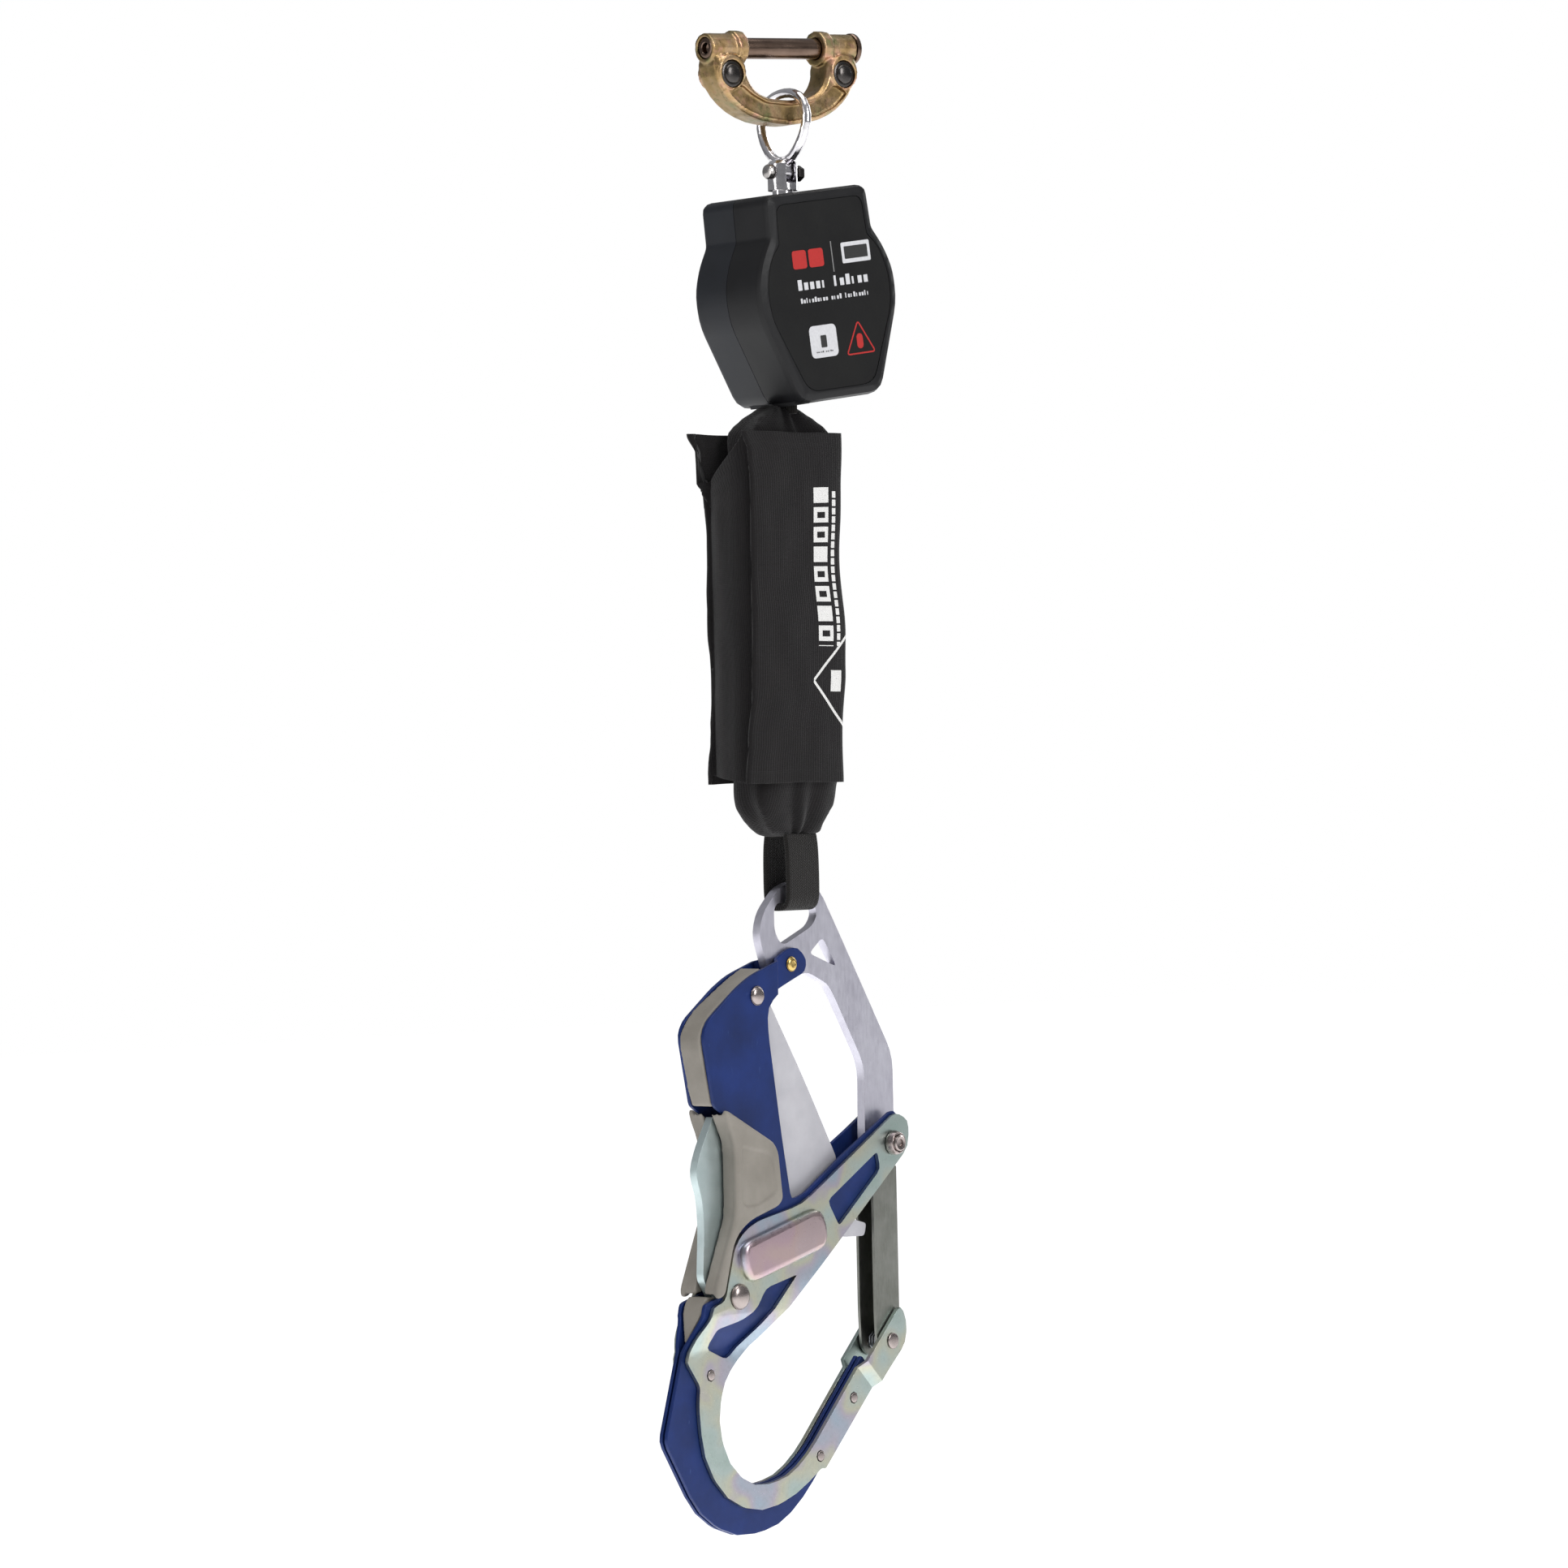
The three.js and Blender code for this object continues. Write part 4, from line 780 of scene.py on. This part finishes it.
def makePouch():
    low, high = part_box("absorber_pouch")
    x, z0, z1 = -4.0, low.z / mm, high.z / mm
    levels = [(z0 - 1, x + 1, 15, 5.5), (z0 + 3, x, 19, 8), (z0 + 9, x - 1, 23, 10),
              (z0 + 18, x - 1, 26.5, 11.5),
              (z0 + 30, x, 27, 11.5), (z0 + 60, x, 26, 11.5), (z0 + 105, x, 26, 11.5), (z1 - 50, x, 26, 11.5),
              (z1 - 22, x, 27, 11.5), (z1 - 12, x, 26, 11), (z1 - 5, x, 21, 9), (z1 - 0.5, x, 14.5, 6),
              (z1 + 3, x, 9, 4)]
    piece = stacked(levels)
    addModifier(piece, "REMESH", mode="VOXEL", voxel_size=pouch["voxel"] * mm)
    addModifier(piece, "SMOOTH", factor=0.5, iterations=3)
    applyAll(piece)
    puff(piece, pouch["pressure"], pouch["cap"] * mm)
    addModifier(piece, "SUBSURF", levels=2, render_levels=2)
    applyAll(piece)
    middle = Vector((x * mm, 0, 0))
    for vertex in piece.data.vertices:
        co = vertex.co
        out = Vector((co.x - middle.x, co.y, 0))
        out = out.normalized() if abs(co.x - middle.x) + abs(co.y) > 1e-6 else Vector()
        angle = math.atan2(co.y, co.x - middle.x)
        nearEnd = max(0.0, 1 - (co.z / mm - z0) / 34) + max(0.0, 1 - (z1 - co.z / mm) / 26)
        pleats = math.sin(angle * 7 + 2.2 * noise.noise(co * 40)) * nearEnd * pouch["gather"]
        crumple = noise.noise(Vector((co.x * 90, co.y * 90, co.z * 34))) * pouch["crease"]
        vertex.co = co + out * (pleats + crumple) * mm
    pick(piece)
    bpy.ops.object.shade_smooth()
    finishPiece(piece, "absorberPouch", ["absorber_pouch"])


cover = {
    "left": -36.0, "right": 23.0, "front": -16.4, "back": 15.4, "thick": 0.9, "wrinkle": 0.9,
    "columns": 150, "rows": 190,
    # height share against the reach of the back flap, the front panel's left edge and its right edge, in mm
    "flap": [(0, 4.6), (0.06, 4.4), (0.12, 2.6), (0.3, 1.6), (0.44, 3.2), (0.7, 2.2), (0.86, 4.6),
             (0.93, 7.6), (1, 13.4)],
    "leftEdge": [(0, -6.5), (0.12, -4.5), (0.25, -1.6), (0.5, 0), (0.86, 0), (0.94, -1), (1, -4.5)],
    "rightEdge": [(0, -3), (0.14, -3.6), (0.32, -0.4), (0.43, 0.4), (0.62, -3), (0.84, -1), (1, 0)],
}


def fromTable(table, share):
    for (low, first), (high, second) in zip(table, table[1:]):
        if share <= high:
            t = (share - low) / (high - low)
            return first + (second - first) * t * t * (3 - 2 * t)
    return table[-1][1]


# the wrap seen from above, in mm: back panel, flap, bulging side, front panel
def coverPath(flap, leftEdge, rightEdge):
    left, right, front, back = [cover[key] for key in ("left", "right", "front", "back")]
    points = [
        (right - 14, back), (left + 14, back), (left, back + 0.3), (left - flap, back + 0.5),
        (left - flap, back - 0.9),
        (left - 0.6, back - 1.4), (left - 1.6, back - 4), (left - 3.0, back - 9), (left - 3.2, 1.0),
        (left - 2.6, -6.0),
        (left + 0.2, front + 5.2), (left + 2.6, front + 2.6), (left + 1.2, front + 1.5),
        (left + leftEdge, front + 1.0),
        (left + leftEdge, front + 0.2), (left + leftEdge + 2, front - 0.2), (left + 22, front - 0.5),
        (left + 42, front - 0.2),
        (right - 5, front + 0.5), (right + rightEdge, front + 1.4),
    ]
    return [Vector((x, y, 0)) for x, y in points]


def alongPath(points, share):  # a place on the line at that share of its length
    lengths = [(b - a).length for a, b in zip(points, points[1:])]
    distance = share * sum(lengths)
    for start, end, length in zip(points, points[1:], lengths):
        if distance <= length:
            return start.lerp(end, distance / length)
        distance -= length
    return points[-1].copy()


def smoothLine(points, times=2):
    for _ in range(times):
        finer = [points[0]]
        for a, b in zip(points, points[1:]):
            finer += [a.lerp(b, 0.25), a.lerp(b, 0.75)]
        points = finer + [points[-1]]
    return points


def makeCover():
    c = cover
    low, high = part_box("absorber_cover")
    plainLine = smoothLine(coverPath(3, 0, 0), 1)
    width = sum((b - a).length for a, b in zip(plainLine, plainLine[1:]))
    height = (high.z - low.z) / mm
    bpy.ops.mesh.primitive_grid_add(x_subdivisions=c["columns"], y_subdivisions=c["rows"], size=1,
                                    location=(0, 0, 0))
    piece = bpy.context.object
    uvs = piece.data.uv_layers.active.data
    for loop in piece.data.loops:
        co = piece.data.vertices[loop.vertex_index].co
        uvs[loop.index].uv = ((co.x + 0.5) * width * mm, (co.y + 0.5) * height * mm)
    lines = {}
    for vertex in piece.data.vertices:
        u, v = vertex.co.x + 0.5, vertex.co.y + 0.5
        row = round(v * c["rows"])
        if row not in lines:
            reaches = [fromTable(c[key], v) for key in ("flap", "leftEdge", "rightEdge")]
            lines[row] = smoothLine(coverPath(*reaches), 1)
        place = alongPath(lines[row], u)
        ahead = alongPath(lines[row], min(1, u + 0.01)) - alongPath(lines[row], max(0, u - 0.01))
        side = Vector((ahead.y, -ahead.x, 0)).normalized()
        swell = noise.noise(Vector((u * 3.2, v * 2.6, 4.0))) * 1.3
        swell += noise.noise(Vector((u * 11, v * 8, 9.0))) * 0.6
        ripple = noise.noise(Vector((u * 17, v * 5, 2.0))) * 0.22 * c["wrinkle"]
        place += side * (swell + ripple) * (0.3 if place.x < c["left"] - 3.5 else 0.7)
        sideShare = max(0.0, min(1.0, (c["back"] - place.y) / 26)) if place.x < c["left"] + 3 else 1.0
        # the side's top runs down to the back
        lowered = 25 * (1 - sideShare) ** 0.7 if c["back"] - 1.1 > place.y else 0.0
        z = low.z / mm + height * v
        z -= lowered * max(0.0, (v - 0.75) / 0.25)
        z += (1 - v) * 5 * (1 - sideShare) * (1 if lowered else 0)
        z = min(high.z / mm, max(low.z / mm, z + 0.8 * math.sin(u * 21) * (v - 0.5)))
        vertex.co = Vector((place.x, place.y, z)) * mm
    addModifier(piece, "SOLIDIFY", thickness=c["thick"] * mm, offset=0.0, use_even_offset=False)
    applyAll(piece)
    pick(piece)
    bpy.ops.object.shade_smooth()
    finishPiece(piece, "absorberCover", ["absorber_cover"])
    paint(piece, coverCloth.material)
    width * mm
    return width, height


def printOnCover(width, height):  # a plain white print and its stitching, in the cut cloth's own coordinates
    finish = coverCloth
    u, v, _ = finish.axes(finish.start.make("ShaderNodeTexCoord", out="UV"))
    fromRight = width * mm - u
    fromTop = height * mm - v

    def between(wire, low, high):
        return (wire > low * mm) * (wire < high * mm)

    stripe = between(fromRight, 9.0, 18.5) * between(fromTop, 27, 105)
    inBlock = (fromTop - 27 * mm) % (9.7 * mm)
    isOpen = (fromTop - 27 * mm) % (29.1 * mm) > 9.7 * mm  # every third block is solid
    hollow = between(inBlock, 2.4, 5.4) * between(fromRight, 11.2, 16.2) * isOpen
    blocks = (inBlock < 7.6 * mm) * (1 - hollow)
    inRow = between(fromRight, 4.2, 6.6) * between(fromTop, 29, 105)
    thin = inRow * (((fromTop - 29 * mm) % (4.1 * mm) < 3.2 * mm) * 1.0)
    slope = abs(fromTop - 122 * mm)
    reach = 22.5 * mm - fromRight
    outer = (slope < reach * 0.98 + 0.6 * mm) * (fromRight > -1 * mm)
    inner = (slope < reach * 0.98 - 1.3 * mm) * 1.0
    triangle = outer * (1 - inner) * (fromRight < 22 * mm)
    drop = (slope < 5.2 * mm) * between(fromRight, 3.5, 10.5)
    mask = (stripe * blocks + thin + triangle + drop).clip(0.2, 0.8)
    base = finish.shader.inputs["Base Color"].links[0].from_socket
    worn = 1 - finish.noise(1500, 3).clip(0.62, 0.75) * 0.6
    finish.set("Base Color", Wire(finish.start.tree, base).blendTo(mask * worn, colour("#d9d8d6")))
    height0 = finish.shader.inputs["Normal"].links[0].from_node.inputs["Height"]
    hem = (fromTop < 6.2 * mm) * (fromTop > 5.4 * mm) + (v < 6.2 * mm) * (v > 5.4 * mm) \
        + (fromRight < 5.4 * mm) * (fromRight > 4.7 * mm)
    old = Wire(finish.start.tree, height0.links[0].from_socket)
    finish.start.tree.links.new((old - hem * 1.6 + mask * 0.5).socket, height0)


def strip(centreLine, width, thick, middleX, turn):  # a tape along the (y, z) points in mm, its width along X
    line = smoothLine([Vector((0, y, z)) for y, z in centreLine])
    length = sum((b - a).length for a, b in zip(line, line[1:]))
    count = max(8, int(length / 0.9))
    bpy.ops.mesh.primitive_grid_add(x_subdivisions=12, y_subdivisions=count, size=1)
    piece = bpy.context.object
    uvs = piece.data.uv_layers.active.data
    for loop in piece.data.loops:
        co = piece.data.vertices[loop.vertex_index].co
        uvs[loop.index].uv = (co.x * width * mm, (co.y + 0.5) * length * mm)
    for vertex in piece.data.vertices:
        across, share = vertex.co.x, vertex.co.y + 0.5
        place = alongPath(line, share)
        vertex.co = Vector((middleX + across * width, place.y, place.z)) * mm
    piece.location = (0, 0, 0)
    addModifier(piece, "SOLIDIFY", thickness=thick * mm, offset=0.0, use_even_offset=True)
    addModifier(piece, "BEVEL", width=thick * 0.4 * mm, segments=3, limit_method="ANGLE",
                angle_limit=math.radians(50))
    applyAll(piece)
    piece.rotation_euler = (0, 0, math.radians(turn))
    settle(piece)
    smooth(piece, 50)
    return piece


webLoop = {"x": -2.5, "width": 23.4, "thick": 2.5, "turn": 9.0}


def makeWebLoop():
    w = webLoop
    top, sag = -387.0, -423.6
    line = [(-6.0, top), (-7.2, top - 8), (-7.4, sag + 10), (-7.0, sag + 4), (-4.6, sag + 0.4), (0, sag),
            (4.6, sag + 0.4), (7.0, sag + 4), (7.4, sag + 10), (7.2, top - 8), (6.0, top)]
    piece = strip(line, w["width"], w["thick"], w["x"], w["turn"])
    finishPiece(piece, "webLoop", ["web_loop"])


lifeline = {"width": 25.0, "thick": 1.8, "tuck": 2.6}


def makeLifeline():
    low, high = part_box("lifeline_web")
    centre = ((low.x + high.x) / 2, 0, (low.z + high.z) / 2)
    bpy.ops.mesh.primitive_cube_add(size=1, location=centre)
    piece = bpy.context.object
    piece.scale = (lifeline["thick"] * mm, lifeline["width"] * mm, high.z - low.z + 2 * lifeline["tuck"] * mm)
    settle(piece)
    bpy.ops.object.mode_set(mode="EDIT")
    bpy.ops.mesh.select_all(action="SELECT")
    bpy.ops.mesh.bevel(offset=0.5 * mm, segments=2, affect="EDGES")
    bpy.ops.object.mode_set(mode="OBJECT")
    uvs = piece.data.uv_layers.active.data
    for loop in piece.data.loops:
        uvs[loop.index].uv = (piece.data.vertices[loop.vertex_index].co.y, 0.0)
    smooth(piece, 50)
    piece.name = "lifelineTape"
    piece.data.name = "lifelineTape"
    paint(piece, finishes["black_web"])
    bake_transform(piece)
    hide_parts("lifeline_web")


makePouch()
coverWidth, coverHeight = makeCover()
printOnCover(coverWidth, coverHeight)
makeWebLoop()
makeLifeline()
print("pouch, cover and webbing made")


# ---- floor, light and camera ------------------------------------------

cameraSettings = {"turn": -40.0, "distance": 2.972, "aside": -0.004243, "height": -0.36239, "roll": 1.24,
                  "lens": 138.447}


def makeCamera():
    c = cameraSettings
    turn, roll = math.radians(c["turn"]), math.radians(c["roll"])
    back = Vector((math.sin(turn), -math.cos(turn), 0))
    right = Vector((math.cos(turn), math.sin(turn), 0))
    up = Vector((0, 0, 1))
    across = right * math.cos(roll) - up * math.sin(roll)
    above = right * math.sin(roll) + up * math.cos(roll)
    place = back * c["distance"] + right * c["aside"] + up * c["height"]
    data = bpy.data.cameras.new("camera")
    data.lens = c["lens"]
    data.sensor_width = 36
    data.clip_start = 0.05
    data.clip_end = 60
    camera = bpy.data.objects.new("camera", data)
    camera.matrix_world = Matrix(((across.x, above.x, back.x, place.x), (across.y, above.y, back.y, place.y),
                                  (across.z, above.z, back.z, place.z), (0, 0, 0, 1)))
    bpy.context.scene.collection.objects.link(camera)
    bpy.context.scene.camera = camera
    return back, right


def softbox(name, place, size, power, target):
    data = bpy.data.lights.new(name, "AREA")
    data.shape = "RECTANGLE"
    data.size, data.size_y = size
    data.energy = power
    lamp = bpy.data.objects.new(name, data)
    lamp.location = place
    lamp.rotation_euler = (Vector(target) - Vector(place)).to_track_quat("-Z", "Y").to_euler()
    bpy.context.scene.collection.objects.link(lamp)


def makeStage(back, right):
    bpy.ops.mesh.primitive_plane_add(size=24, location=(0, 0, cadBox[0][2] - 0.35))
    floor = bpy.context.object
    floor.name = "floor"
    finish = Finish("floorPaper", "#f2f2f2", 0.9, Emission_Strength=0.8)
    paper = finish.ramp(finish.noise(2, 2), [(0.3, colour("#fbfbfb")), (0.7, colour("#ffffff"))])
    finish.set("Base Color", paper)
    finish.set("Emission Color", paper)
    paint(floor, finish.material)
    floor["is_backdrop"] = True
    target = (0, 0, -0.36)
    softbox("key", back * 1.5 + right * 1.6 + Vector((0, 0, 0.8)), (0.6, 1.3), 29, target)
    softbox("fill", back * 1.2 - right * 1.9 + Vector((0, 0, 0.1)), (0.4, 1.5), 7, target)
    softbox("top", Vector((0, 0, 1.4)) + back * 0.2, (1.2, 1.2), 16, target)
    softbox("rim", -back * 1.4 + right * 0.9 + Vector((0, 0, 0.4)), (0.6, 1.4), 14, target)
    world = bpy.data.worlds.new("studio")
    world.use_nodes = True
    tree = world.node_tree
    start = Wire(tree)
    background = tree.nodes["Background"]
    direction = start.make("ShaderNodeTexCoord", out="Generated")
    _, _, up = [start.make("ShaderNodeSeparateXYZ", None, {0: direction}, out) for out in (0, 1, 2)]
    sky = start.make("ShaderNodeValToRGB", {"stops": [(0.0, (0.7, 0.7, 0.7)), (0.42, (0.34, 0.34, 0.35)),
                                                      (0.56, (0.5, 0.51, 0.53)), (1.0, (0.95, 0.96, 0.98))]},
                     {0: up * 0.5 + 0.5})
    tree.links.new(sky.socket, background.inputs["Color"])
    background.inputs["Strength"].default_value = 0.42
    white = tree.nodes.new("ShaderNodeBackground")
    white.inputs["Color"].default_value = (1, 1, 1, 1)
    white.inputs["Strength"].default_value = 1.0
    seen = start.make("ShaderNodeLightPath", out="Is Camera Ray")
    mix = tree.nodes.new("ShaderNodeMixShader")
    tree.links.new(seen.socket, mix.inputs[0])
    tree.links.new(background.outputs[0], mix.inputs[1])
    tree.links.new(white.outputs[0], mix.inputs[2])
    tree.links.new(mix.outputs[0], tree.nodes["World Output"].inputs["Surface"])
    bpy.context.scene.world = world
    bpy.context.scene.view_settings.view_transform = "Standard"


makeStage(*makeCamera())
print("stage, light and camera set")


def plain(value):
    return [plain(item) for item in value] if hasattr(value, "__len__") else float(value)


{"cad": plain(cadBox), "visual": plain(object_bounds())}
